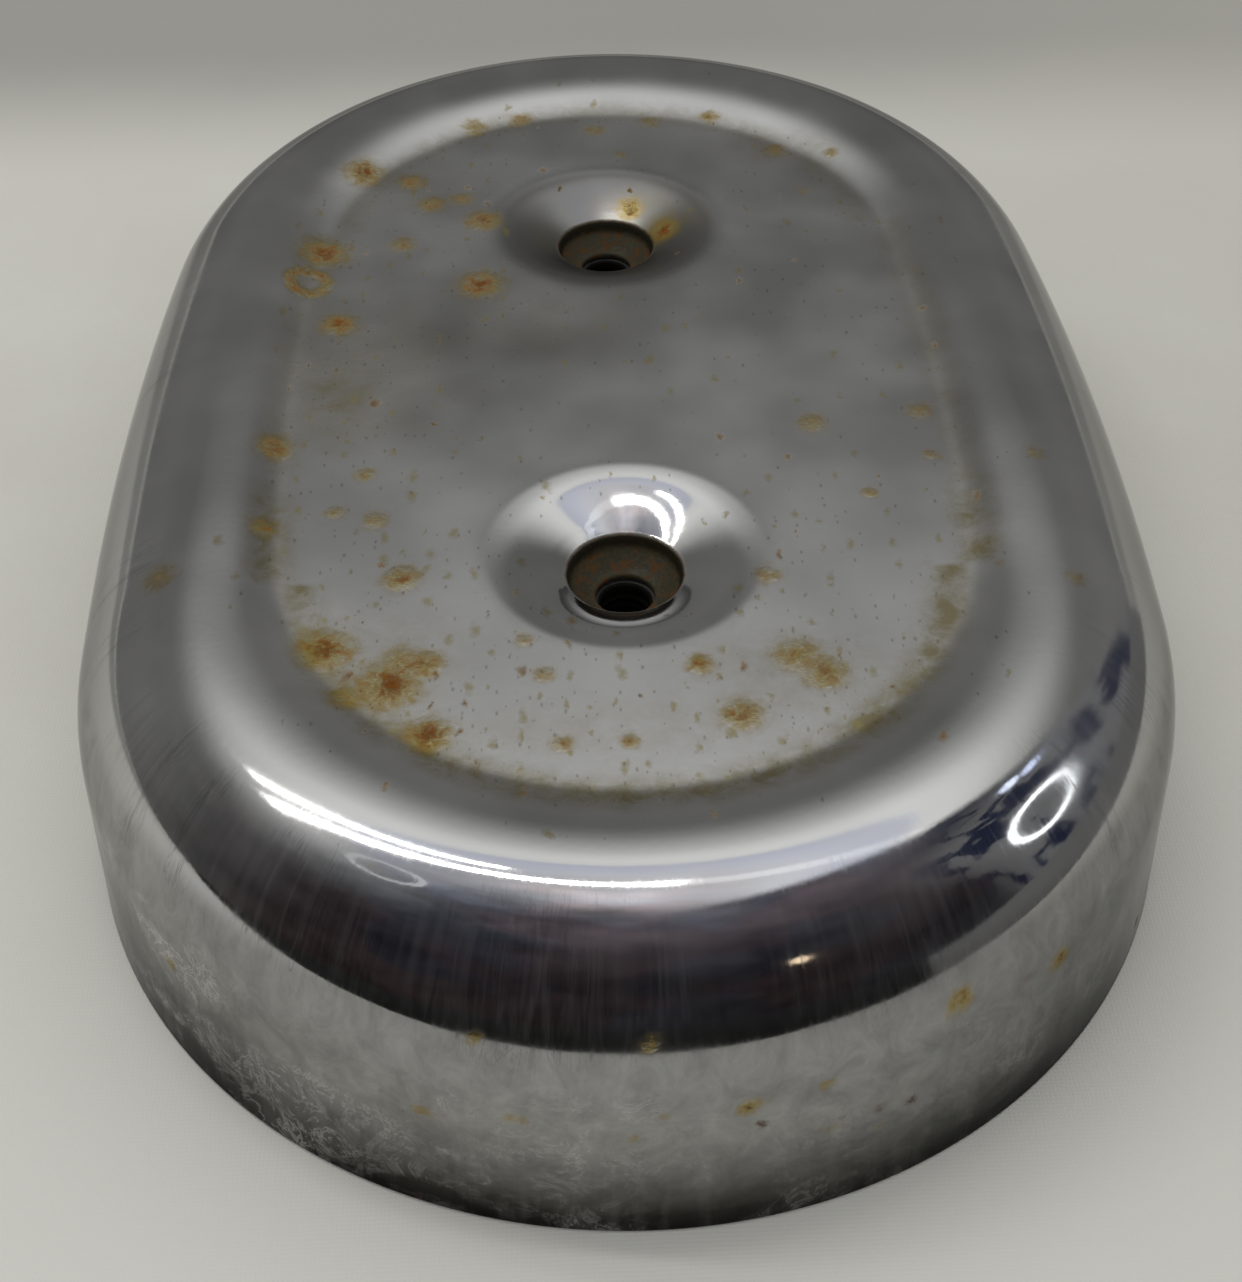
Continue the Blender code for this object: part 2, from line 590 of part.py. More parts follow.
def pleated_media():
    """Folded paper: a zigzag band of even thickness between the two screens."""
    outer = even_outline(1.8 + PAPER_T, 2 * PLEATS)
    depth = D - 2 * (1.8 + PAPER_T)
    tips = [((p[0] - n[0] * depth * (k % 2)), (p[1] - n[1] * depth * (k % 2))) for k, (p, n) in enumerate(outer)]
    count = len(tips)
    left, right = [], []
    for k in range(count):
        a, b, c = tips[k - 1], tips[k], tips[(k + 1) % count]
        d1 = (b[0] - a[0], b[1] - a[1])
        d2 = (c[0] - b[0], c[1] - b[1])
        l1, l2 = hypot(*d1), hypot(*d2)
        n1, n2 = (d1[1] / l1, -d1[0] / l1), (d2[1] / l2, -d2[0] / l2)
        m = (n1[0] + n2[0], n1[1] + n2[1])
        lm = hypot(*m)
        m = (m[0] / lm, m[1] / lm)
        cut = max(m[0] * n1[0] + m[1] * n1[1], 0.35)
        w = PAPER_T / 2 / cut
        w = min(w, PAPER_T)
        left.append((b[0] + m[0] * w, b[1] + m[1] * w))
        right.append((b[0] - m[0] * w, b[1] - m[1] * w))
    bm = bmesh.new()
    rows = [[bm.verts.new((x, y, z)) for x, y in side] for side, z in
            ((left, BODY_Z0), (left, BODY_Z1), (right, BODY_Z1), (right, BODY_Z0))]
    for a, b in zip(rows, rows[1:] + rows[:1]):
        for k in range(count):
            j = (k + 1) % count
            bm.faces.new((a[k], a[j], b[j], b[k]))
    return finish("element_media", bm, PAPER)


pleated_media()

# ---------------------------------------------------------------- moving groups
# Both lift straight up, so their parents stand on the lift axis at the origin.
cover_lift = bpy.data.objects.new("cover_lift", None)
element_lift = bpy.data.objects.new("element_lift", None)
for empty in (cover_lift, element_lift):
    empty.empty_display_size = 0.02
    parts.objects.link(empty)
cover.parent = cover_lift
for obj in parts.objects:
    if obj.name.startswith("element_") and obj.type == "MESH":
        obj.parent = element_lift

bpy.context.view_layer.update()
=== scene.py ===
"""Looks for the oblong air cleaner: a chromed, rust-freckled pressed cover lying rim
down over its element, air horn and backing plate, on a pale floor.

Lengths are given in millimetres and scaled by MM when they reach Blender.
"""

from math import acos, asin, atan2, cos, hypot, pi, radians, sin, tan

import bpy
import bmesh
import numpy as np
from mathutils import Matrix, Vector, noise
from mathutils.geometry import convex_hull_2d, delaunay_2d_cdt


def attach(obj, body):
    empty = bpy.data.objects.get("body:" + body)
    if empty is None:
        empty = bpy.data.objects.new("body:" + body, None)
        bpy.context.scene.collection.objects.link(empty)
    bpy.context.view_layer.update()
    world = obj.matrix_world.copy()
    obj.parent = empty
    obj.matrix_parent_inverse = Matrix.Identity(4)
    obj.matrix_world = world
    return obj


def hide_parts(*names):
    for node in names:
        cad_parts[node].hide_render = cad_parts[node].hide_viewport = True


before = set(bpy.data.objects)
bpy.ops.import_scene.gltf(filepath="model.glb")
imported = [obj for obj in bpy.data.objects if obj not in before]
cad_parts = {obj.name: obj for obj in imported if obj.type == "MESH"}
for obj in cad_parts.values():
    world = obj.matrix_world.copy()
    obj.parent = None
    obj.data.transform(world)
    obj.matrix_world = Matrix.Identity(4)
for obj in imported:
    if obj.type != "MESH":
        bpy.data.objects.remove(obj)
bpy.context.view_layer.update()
MM = 0.001

# ------------------------------------------------------------------ camera
scene = bpy.context.scene
cam_data = bpy.data.cameras.new("camera")
cam = bpy.data.objects.new("camera", cam_data)
scene.collection.objects.link(cam)
cam_data.sensor_fit = "AUTO"
cam_data.sensor_width = 36.0
cam_data.lens = 51.86
cam_data.clip_start = 0.01
cam_data.clip_end = 60.0
eye = Vector((-5.98, -230.04, 203.08)) * MM
aim = Vector((0.126, -14.08, 0.0)) * MM
level = (aim - eye).to_track_quat("-Z", "Y")
roll = Matrix.Rotation(radians(-0.727), 3, "Z")
cam.location = eye
cam.rotation_euler = (level.to_matrix() @ roll).to_euler()
scene.camera = cam

# ------------------------------------------------------------------ node helpers
def new_material(name):
    mat = bpy.data.materials.new(name)
    mat.use_nodes = True
    mat.node_tree.nodes.clear()
    return mat


class Tree:
    """Short hands for building a node tree."""

    def __init__(self, tree):
        self.t = tree

    def node(self, kind, **props):
        n = self.t.nodes.new(kind)
        for k, v in props.items():
            setattr(n, k, v)
        return n

    def put(self, socket, value):
        if value is None:
            return
        if isinstance(value, bpy.types.NodeSocket):
            self.t.links.new(value, socket)
        elif isinstance(value, (tuple, list)) and len(value) == 3 and socket.type == "RGBA":
            socket.default_value = (*value, 1.0)
        else:
            socket.default_value = value

    def coords(self):
        return self.node("ShaderNodeTexCoord").outputs["Object"]

    def mapping(self, vec, scale=(1, 1, 1), loc=(0, 0, 0), rot=(0, 0, 0)):
        n = self.node("ShaderNodeMapping")
        self.put(n.inputs["Vector"], vec)
        n.inputs["Scale"].default_value = scale
        n.inputs["Location"].default_value = loc
        n.inputs["Rotation"].default_value = rot
        return n.outputs["Vector"]

    def noise(self, vec, scale, detail=4.0, rough=0.55, distort=0.0, lac=2.0, color=False):
        n = self.node("ShaderNodeTexNoise")
        n.noise_dimensions = "3D"
        self.put(n.inputs["Vector"], vec)
        n.inputs["Scale"].default_value = scale
        n.inputs["Detail"].default_value = detail
        n.inputs["Roughness"].default_value = rough
        n.inputs["Lacunarity"].default_value = lac
        n.inputs["Distortion"].default_value = distort
        return n.outputs["Color" if color else "Fac"]

    def voronoi(self, vec, scale, feature="F1", randomness=1.0, out="Distance"):
        n = self.node("ShaderNodeTexVoronoi")
        n.feature = feature
        self.put(n.inputs["Vector"], vec)
        n.inputs["Scale"].default_value = scale
        n.inputs["Randomness"].default_value = randomness
        return n.outputs[out]

    def ramp(self, fac, stops, interpolation="LINEAR"):
        n = self.node("ShaderNodeValToRGB")
        cr = n.color_ramp
        cr.interpolation = interpolation
        while len(cr.elements) < len(stops):
            cr.elements.new(0.5)
        for e, (pos, col) in zip(cr.elements, stops):
            e.position = pos
            e.color = (*col, 1.0) if isinstance(col, tuple) else (col, col, col, 1.0)
        self.put(n.inputs["Fac"], fac)
        return n.outputs["Color"]

    def remap(self, value, a, b, c=0.0, d=1.0, smooth=False):
        n = self.node("ShaderNodeMapRange")
        n.interpolation_type = "SMOOTHSTEP" if smooth else "LINEAR"
        n.clamp = True
        self.put(n.inputs["Value"], value)
        for key, v in (("From Min", a), ("From Max", b), ("To Min", c), ("To Max", d)):
            self.put(n.inputs[key], v)
        return n.outputs["Result"]

    def math(self, op, a, b=None, clamp=False, c=None):
        n = self.node("ShaderNodeMath", operation=op)
        n.use_clamp = clamp
        self.put(n.inputs[0], a)
        self.put(n.inputs[1], b)
        self.put(n.inputs[2], c)
        return n.outputs[0]

    def vmath(self, op, a, b=None):
        n = self.node("ShaderNodeVectorMath", operation=op)
        self.put(n.inputs[0], a)
        if op == "SCALE":
            self.put(n.inputs["Scale"], b)
        elif b is not None:
            self.put(n.inputs[1], b)
        return n.outputs["Value"] if op in ("LENGTH", "DOT_PRODUCT", "DISTANCE") else n.outputs["Vector"]

    def mix(self, fac, a, b, blend="MIX"):
        n = self.node("ShaderNodeMix", data_type="RGBA", blend_type=blend)
        n.clamp_factor = True
        self.put(n.inputs[0], fac)
        self.put(n.inputs[6], a)
        self.put(n.inputs[7], b)
        return n.outputs[2]

    def mixf(self, fac, a, b):
        n = self.node("ShaderNodeMix", data_type="FLOAT")
        n.clamp_factor = True
        self.put(n.inputs[0], fac)
        self.put(n.inputs[2], a)
        self.put(n.inputs[3], b)
        return n.outputs[0]

    def split(self, vec):
        n = self.node("ShaderNodeSeparateXYZ")
        self.put(n.inputs[0], vec)
        return n.outputs

    def attribute(self, name):
        n = self.node("ShaderNodeAttribute")
        n.attribute_name = name
        return n.outputs["Fac"]

    def bump(self, height, distance, strength=1.0, normal=None):
        n = self.node("ShaderNodeBump")
        n.inputs["Strength"].default_value = strength
        n.inputs["Distance"].default_value = distance
        self.put(n.inputs["Height"], height)
        self.put(n.inputs["Normal"], normal)
        return n.outputs["Normal"]

    def principled(self, **sockets):
        n = self.node("ShaderNodeBsdfPrincipled")
        for key, value in sockets.items():
            self.put(n.inputs[key.replace("_", " ")], value)
        out = self.node("ShaderNodeOutputMaterial")
        self.t.links.new(n.outputs["BSDF"], out.inputs["Surface"])
        return n


# ------------------------------------------------------------------ cover shape
COVER_R, COVER_C, COVER_W, COVER_H, COVER_T = 77.0, 40.5, 78.5, 45.0, 1.0
WALL_H, WALL_DRAFT, SHOULDER_A, SHOULDER_Q = 23.5, 1.4, 18.9, 1.83
PANEL_Z, PANEL_INSET, PANEL_SHIFT, PANEL_FWD = 42.7, 30.6, 4.3, 2.7
SEAT_Y, DISH_R, LIP_R, LIP_Z, HOLE_R = 41.8, 18.8, 8.1, 39.0, 4.05


def outline_rays(r_end, c, w, n_side, n_end):
    """Points of the bowed oblong with their outward normals, anticlockwise."""
    r_side = (w * w + c * c - r_end * r_end) / (2.0 * (w - r_end))
    xc = r_side - w
    t = atan2(c, xc)
    pts = []
    for k in range(n_side):
        a = -t + 2 * t * k / n_side
        pts.append((-xc + r_side * cos(a), r_side * sin(a), cos(a), sin(a)))
    for k in range(n_end):
        a = t + (pi - 2 * t) * k / n_end
        pts.append((r_end * cos(a), c + r_end * sin(a), cos(a), sin(a)))
    return pts + [(-x, -y, -nx, -ny) for x, y, nx, ny in pts]


def even(points, step):
    """Resample a polyline at nearly even spacing, ends kept."""
    pts = np.array(points, float)
    seg = np.hypot(np.diff(pts[:, 0]), np.diff(pts[:, 1]))
    run = np.concatenate([[0.0], np.cumsum(seg)])
    n = max(2, int(round(run[-1] / step)) + 1)
    s = np.linspace(0.0, run[-1], n)
    return np.column_stack([np.interp(s, run, pts[:, k]) for k in range(pts.shape[1])])


def soften(points, rounds):
    """Repeated three-point averaging with fixed ends."""
    pts = np.array(points, float)
    for _ in range(rounds):
        pts[1:-1] = 0.25 * pts[:-2] + 0.5 * pts[1:-1] + 0.25 * pts[2:]
    return pts


def cover_profile(step=0.8):
    """(inset, z, shift) up the wall, over the shoulder and down to the panel."""
    crest = WALL_DRAFT + SHOULDER_A
    pts = [(WALL_DRAFT * z / WALL_H, z, 0.0) for z in np.linspace(0.0, WALL_H, 24)]
    for a in np.linspace(0, pi / 2, 160)[1:]:
        inset = WALL_DRAFT + SHOULDER_A * (1 - max(cos(a), 0.0) ** (2 / SHOULDER_Q))
        pts.append((inset, WALL_H + (COVER_H - WALL_H) * sin(a) ** (2 / SHOULDER_Q), 0.0))
    # fall from the crest to the panel: gentle at first, steepest near the panel
    u = np.linspace(0, 1, 80)
    slope = np.tan(np.radians(np.interp(u, (0, 0.18, 0.39, 0.53, 0.64, 0.74, 0.84, 0.93, 1.0), (0, 2, 5, 8, 14, 19, 18, 10, 1))))
    fall = np.concatenate([[0.0], np.cumsum(0.5 * (slope[1:] + slope[:-1]))])
    for k in range(1, len(u)):
        pts.append((crest + (PANEL_INSET - crest) * u[k], COVER_H + (PANEL_Z - COVER_H) * fall[k] / fall[-1], PANEL_SHIFT * u[k]))
    fine = soften(even(pts, 0.25), 45)
    fine = np.vstack([fine, [(PANEL_INSET + 1.2, PANEL_Z, PANEL_SHIFT)]])
    return even(fine, step)


def dish_drop(u):
    """Fall of the dish as a share of its depth: it breaks at its edge, then steepens."""
    v = np.linspace(0.0, 1.0, 101)
    slope = np.tan(np.radians(np.interp(v, (0, 0.13, 0.25, 0.40, 0.51, 0.63, 0.84, 1.0), (6.5, 8, 13, 22.5, 24.5, 26.5, 30, 32.5))))
    fall = np.concatenate([[0.0], np.cumsum(0.5 * (slope[1:] + slope[:-1]))])
    return float(np.interp(u, v, fall / fall[-1]))


def seat_profile():
    """(radius, z) down the dish, round the mouth, down the countersink to the hole."""
    pts = [(DISH_R + (LIP_R + 0.3 - DISH_R) * u, PANEL_Z + (LIP_Z - PANEL_Z) * dish_drop(u)) for u in np.linspace(0, 1, 60)]
    dish = even(soften([(DISH_R + 0.6, PANEL_Z), (DISH_R + 0.3, PANEL_Z)] + pts, 3), 0.5)
    mouth = [(8.1, 38.83), (7.85, 38.55), (7.68, 38.2), (7.56, 37.75), (7.46, 37.25), (7.3, 36.85), (7.0, 36.55)]
    cone = [(6.3, 36.0), (5.6, 35.5), (5.0, 35.1), (4.6, 34.93), (4.28, 34.85), (4.1, 34.72), (4.05, 34.5)]
    return [tuple(p) for p in dish] + mouth + cone


def seat_profile_inner():
    """The same seat seen from inside, one sheet thickness below, from the hole out."""
    pts = [(4.05, 34.15), (4.2, 33.95), (5.0, 33.9), (6.2, 34.5), (7.3, 35.2), (8.0, 35.9), (8.45, 36.8), (8.7, 37.5), (9.2, 37.95)]
    dish = [(DISH_R + (LIP_R - DISH_R) * u, PANEL_Z - COVER_T + (LIP_Z - PANEL_Z) * dish_drop(u)) for u in np.linspace(0.84, 0.02, 12)] + [(DISH_R + 0.6, PANEL_Z - COVER_T)]
    return pts + dish


def wave(x, y, z):
    """Slow unevenness of the pressing, in millimetres along the normal."""
    p = Vector((x, y, z))
    v = noise.noise(p / 34.0 + Vector((3.1, 7.7, 1.3)))
    v += 0.45 * noise.noise(p / 15.0 + Vector((9.4, 2.2, 5.6)))
    return v


def build_cover():
    n_side, n_end = (56, 124)
    rows = []                                             # each: list of xyz
    prof = cover_profile()
    # outer skin from the rim up
    rim = [(0.45, 0.0), (0.22, 0.05), (0.06, 0.2), (0.0, 0.45)]
    outer = [(i, z, 0.0) for i, z in rim] + [tuple(p) for p in prof[1:] if p[1] > 0.7 or p[0] > 5]

    def ring(inset, z, shift):
        fwd = PANEL_FWD * shift / PANEL_SHIFT
        return [(x, y - fwd, z) for x, y, _, _ in outline_rays(COVER_R - inset, COVER_C - shift, COVER_W - inset, n_side, n_end)]

    # inner skin: the outer profile moved in along its own normal
    arr = np.array(outer[3:])
    d = np.gradient(arr[:, :2], axis=0)
    d /= np.hypot(d[:, 0], d[:, 1])[:, None]
    inner = np.column_stack([arr[:, 0] + d[:, 1] * COVER_T, arr[:, 1] - d[:, 0] * COVER_T, arr[:, 2]])
    inner[-1] = (arr[-1, 0], arr[-1, 1] - COVER_T, arr[-1, 2])
    inner[-2, :2] = (arr[-2, 0], arr[-2, 1] - COVER_T)
    inner = [p for p in inner if p[1] > 0.5]
    rim_in = [(COVER_T, 0.45), (COVER_T - 0.06, 0.2), (COVER_T - 0.22, 0.05)]
    inner_rows = [tuple(p) for p in inner[::-1]] + [(i, z, 0.0) for i, z in rim_in]

    bm = bmesh.new()

    def add_ring(points):
        return [bm.verts.new(p) for p in points]

    def strip(a, b, flip=False, mat=0):
        n = len(a)
        for k in range(n):
            j = (k + 1) % n
            quad = (a[k], a[j], b[j], b[k])
            f = bm.faces.new(quad[::-1] if flip else quad)
            f.material_index = mat

    out_rows = [add_ring(ring(*p)) for p in outer]
    for a, b in zip(out_rows, out_rows[1:]):
        strip(a, b)
    in_rows = [add_ring(ring(*p)) for p in inner_rows]
    for a, b in zip(in_rows, in_rows[1:]):
        strip(a, b, mat=1)
    strip(in_rows[-1], out_rows[0], mat=0)

    n_seat = 96
    seats = []
    for side in (-1, 1):
        cy = side * SEAT_Y

        def circle(r, z):
            return [(r * cos(2 * pi * k / n_seat), cy + r * sin(2 * pi * k / n_seat), z) for k in range(n_seat)]

        down = [add_ring(circle(r, z)) for r, z in seat_profile()]
        for a, b in zip(down, down[1:]):
            strip(a, b)
        up = [add_ring(circle(r, z)) for r, z in seat_profile_inner()]
        strip(down[-1], up[0])
        for a, b in zip(up, up[1:]):
            strip(a, b, mat=1)
        seats.append((cy, down[0], up[-1]))

    # panel: one triangulation used for both skins
    border_out, border_in = out_rows[-1], in_rows[0]
    loops = [border_out] + [s[1] for s in seats]
    loops_in = [border_in] + [s[2] for s in seats]
    coords, verts_out, verts_in, edges = [], [], [], []
    for lo, li in zip(loops, loops_in):
        start = len(coords)
        for vo, vi in zip(lo, li):
            coords.append(Vector((vo.co.x, vo.co.y)))
            verts_out.append(vo)
            verts_in.append(vi)
        n = len(lo)
        edges += [(start + k, start + (k + 1) % n) for k in range(n)]
    limit = [(v.co.x, v.co.y) for v in border_out]
    poly = np.array(limit)
    pitch = 1.15
    grid = []
    ys = np.arange(-90, 90, pitch * 0.866)
    for r, y in enumerate(ys):
        for x in np.arange(-60, 60, pitch) + (pitch / 2 if r % 2 else 0.0):
            if min(hypot(x, y - SEAT_Y), hypot(x, y + SEAT_Y)) < DISH_R + 0.6 + pitch * 0.6:
                continue
            d2 = ((poly - (x, y)) ** 2).sum(1)
            k = int(d2.argmin())
            a, b = poly[k], poly[(k + 1) % len(poly)]
            tx, ty = b - a
            # inside the anticlockwise border, and clear of it
            if (tx * (y - a[1]) - ty * (x - a[0])) / hypot(tx, ty) < pitch * 0.6:
                continue
            grid.append((x, y))
    base = len(coords)
    for x, y in grid:
        coords.append(Vector((x, y)))
        verts_out.append(bm.verts.new((x, y, PANEL_Z)))
        verts_in.append(bm.verts.new((x, y, PANEL_Z - COVER_T)))
    result = delaunay_2d_cdt(coords, edges, [], 0, 1e-5)
    out_co, _, faces, orig_v = result[0], result[1], result[2], result[3]
    ids = [o[0] for o in orig_v]
    for f in faces:
        cx = sum(out_co[i].x for i in f) / 3
        cy = sum(out_co[i].y for i in f) / 3
        if min(hypot(cx, cy - SEAT_Y), hypot(cx, cy + SEAT_Y)) < (DISH_R + 0.6) * cos(pi / n_seat) - 1e-4:
            continue
        idx = [ids[i] for i in f]
        # drop slivers outside the border
        d2 = ((poly - (cx, cy)) ** 2).sum(1)
        k = int(d2.argmin())
        inside = True
        for m in (k - 1, k):
            a, b = poly[m % len(poly)], poly[(m + 1) % len(poly)]
            if ((b[0] - a[0]) * (cy - a[1]) - (b[1] - a[1]) * (cx - a[0])) < -1e-6:
                inside = False
        if not inside:
            continue
        bm.faces.new([verts_out[i] for i in idx])
        g = bm.faces.new([verts_in[i] for i in reversed(idx)])
        g.material_index = 1
    bmesh.ops.recalc_face_normals(bm, faces=bm.faces)
    bm.normal_update()
    # slow unevenness: stronger across the panel, slight on the wall
    moves = []
    for v in bm.verts:
        x, y, z = v.co
        amp = 0.015 + 0.035 * min(max((z - 20.0) / 20.0, 0.0), 1.0)
        if z < 2.0:
            amp *= max(z, 0.0) / 2.0
        near = min(hypot(x, y - SEAT_Y), hypot(x, y + SEAT_Y))
        if near < 10:
            amp *= 0.15
        zz = z if v.normal.z > 0 else z + COVER_T * (1 if z > 30 else 0)
        w = wave(x, y, zz) * amp
        nrm = v.normal if v.normal.z >= 0 or z < 20 else -v.normal
        moves.append(nrm * w)
    for v, m in zip(bm.verts, moves):
        v.co += m
    bmesh.ops.scale(bm, vec=(MM, MM, MM), verts=bm.verts)
    mesh = bpy.data.meshes.new("chrome_cover")
    bm.to_mesh(mesh)
    bm.free()
    mesh.shade_smooth()
    obj = bpy.data.objects.new("chrome_cover", mesh)
    scene.collection.objects.link(obj)
    return obj


cover = build_cover()

# ------------------------------------------------------------------ where the chrome has rusted and stained, and where dark reflections are painted
# (x, y, z, radius, strength) of the larger rust blooms, in millimetres.
RUST = [
    (-41.3, 60.3, 43.0, 3.6, 1.0), (-32.9, 57.7, 42.7, 2.8, 0.9), (-29.5, 50.1, 42.7, 2.8, 0.9), (-24.1, 51.8, 42.7, 2.4, 0.8),
    (-20.5, 44.4, 42.7, 3.4, 1.0), (-33.6, 37.5, 42.7, 2.6, 0.8), (-46.2, 35.0, 42.7, 4.6, 1.0), (-42.4, 14.4, 42.7, 3.2, 0.95),
    (-20.5, 24.7, 42.7, 4.2, 1.0), (-49.1, -17.3, 43.3, 3.0, 1.0), (-48.8, -35.5, 43.6, 2.2, 0.85), (-29.7, -46.1, 42.7, 2.6, 1.0),
    (-38.7, -59.5, 42.7, 4.0, 1.0), (-35.5, -68.2, 43.0, 2.4, 0.8), (-30.2, -66.0, 42.7, 4.4, 1.0), (-25.9, -62.6, 42.7, 2.6, 0.95),
    (-28.8, -62.0, 42.7, 3.0, 0.8), (-24.9, -74.8, 42.7, 3.2, 1.0), (-0.7, -77.0, 42.7, 1.3, 0.9), (13.1, -73.2, 42.7, 3.0, 0.85),
    (-8.8, -77.2, 42.7, 1.6, 0.75), (8.6, -64.2, 42.7, 2.0, 0.85), (23.9, -66.4, 42.7, 3.0, 0.9), (20.8, -63.0, 42.7, 3.4, 0.8),
    (18.7, -47.6, 42.7, 2.2, 0.7), (28.2, -14.7, 42.7, 2.6, 0.75), (44.0, -12.5, 42.7, 2.4, 0.7), (34.4, -31.1, 42.7, 1.3, 0.85),
    (-61.1, -45.9, 43.4, 3.0, 0.7), (-22.5, 75.8, 42.7, 2.6, 0.75), (-14.3, 78.3, 42.7, 2.4, 0.7), (-1.0, 74.6, 42.7, 2.4, 0.7),
    (9.2, 77.0, 42.7, 2.2, 0.7), (20.1, 77.8, 42.7, 2.0, 0.75), (4.5, 51.3, 40.2, 2.4, 0.8), (9.7, 44.2, 39.9, 3.2, 0.95),
    (-35.9, -23.7, 42.7, 1.8, 0.75), (-33.9, -33.9, 42.7, 2.2, 0.75), (-39.5, -31.9, 42.7, 1.8, 0.7), (-10.9, -65.1, 42.7, 1.8, 0.7),
    (-13.4, -58.8, 42.7, 1.5, 0.7), (44.1, -23.0, 42.7, 1.4, 0.7), (58.0, -26.1, 44.5, 1.8, 0.65), (58.0, -52.3, 44.1, 1.8, 0.65),
    (3.4, 65.6, 42.7, 1.6, 0.65), (30.6, 65.5, 42.7, 2.6, 0.65), (40.1, 62.8, 43.1, 1.5, 0.75), (34.3, 51.4, 42.7, 1.6, 0.6),
    (35.7, -106.5, 28.7, 2.2, 0.95), (49.7, -97.4, 24.1, 2.2, 0.9), (11.1, -115.3, 22.8, 1.8, 1.0), (1.0, -116.1, 22.8, 1.1, 0.9),
    (-15.4, -114.6, 21.1, 1.3, 0.95), (0.0, -113.7, 33.3, 1.8, 0.85), (-58.0, -89.4, 18.9, 1.4, 0.85), (-19.7, -111.5, 32.4, 1.4, 0.8),
    (20.3, -113.3, 23.6, 1.2, 0.8), (-26.1, -111.7, 18.9, 1.4, 0.8), (-2.2, -116.3, 18.8, 0.9, 0.8), (20.9, -113.7, 15.1, 1.1, 0.9),
    (-37.0, -100.0, 30.5, 1.3, 0.75), (52.0, -93.0, 21.0, 2.0, 0.7), (27.0, -111.0, 12.0, 1.2, 0.7), (-58.0, 92.0, 24.0, 2.4, 0.8),
    (66.0, 74.0, 20.0, 2.2, 0.8), (77.0, 12.0, 15.0, 2.0, 0.75), (-77.5, -22.0, 14.0, 2.2, 0.75), (18.0, 115.0, 21.0, 2.0, 0.8),
    (-24.0, 113.0, 12.0, 1.6, 0.8), (70.0, -52.0, 30.0, 1.4, 0.6), (-71.0, 40.0, 29.0, 1.6, 0.6),
]
# (x, y, z, x radius, y radius, strength) of brown haze without much crust.
STAIN = [
    (-41.0, -4.0, 42.7, 9.0, 13.0, 0.9), (-38.0, 4.0, 42.7, 14.0, 20.0, 0.55), (-12.0, 15.0, 42.7, 20.0, 12.0, 0.34),
    (31.0, 66.0, 42.7, 10.0, 5.0, 0.6), (10.5, 45.0, 40.0, 5.0, 5.0, 0.85), (5.0, 52.0, 41.0, 6.0, 4.0, 0.6),
    (-9.5, 41.5, 40.0, 3.0, 4.0, 0.7), (-33.0, -62.0, 42.7, 13.0, 12.0, 0.5), (20.0, -66.0, 42.7, 14.0, 9.0, 0.45),
    (-36.0, 56.0, 42.7, 18.0, 12.0, 0.3), (-48.0, 27.0, 42.7, 7.0, 14.0, 0.35), (0.0, -75.0, 42.7, 28.0, 7.0, 0.35),
]
# (x, y, x radius, y radius, strength) of painted dark reflections: greyer patches across the panel.
DARK_REFLECTION_PATCHES = [
    (-29.0, -11.0, 8.0, 8.6, 0.75), (-25.0, 8.0, 9.2, 8.1, 0.85), (-11.0, 6.0, 10.7, 9.4, 0.80), (-39.0, -6.0, 6.6, 8.8, 0.60),
    (1.0, 10.0, 7.7, 6.9, 0.35), (-20.0, -4.0, 10.4, 7.6, 0.60), (-48.0, 10.0, 4.4, 6.6, 0.30),
]


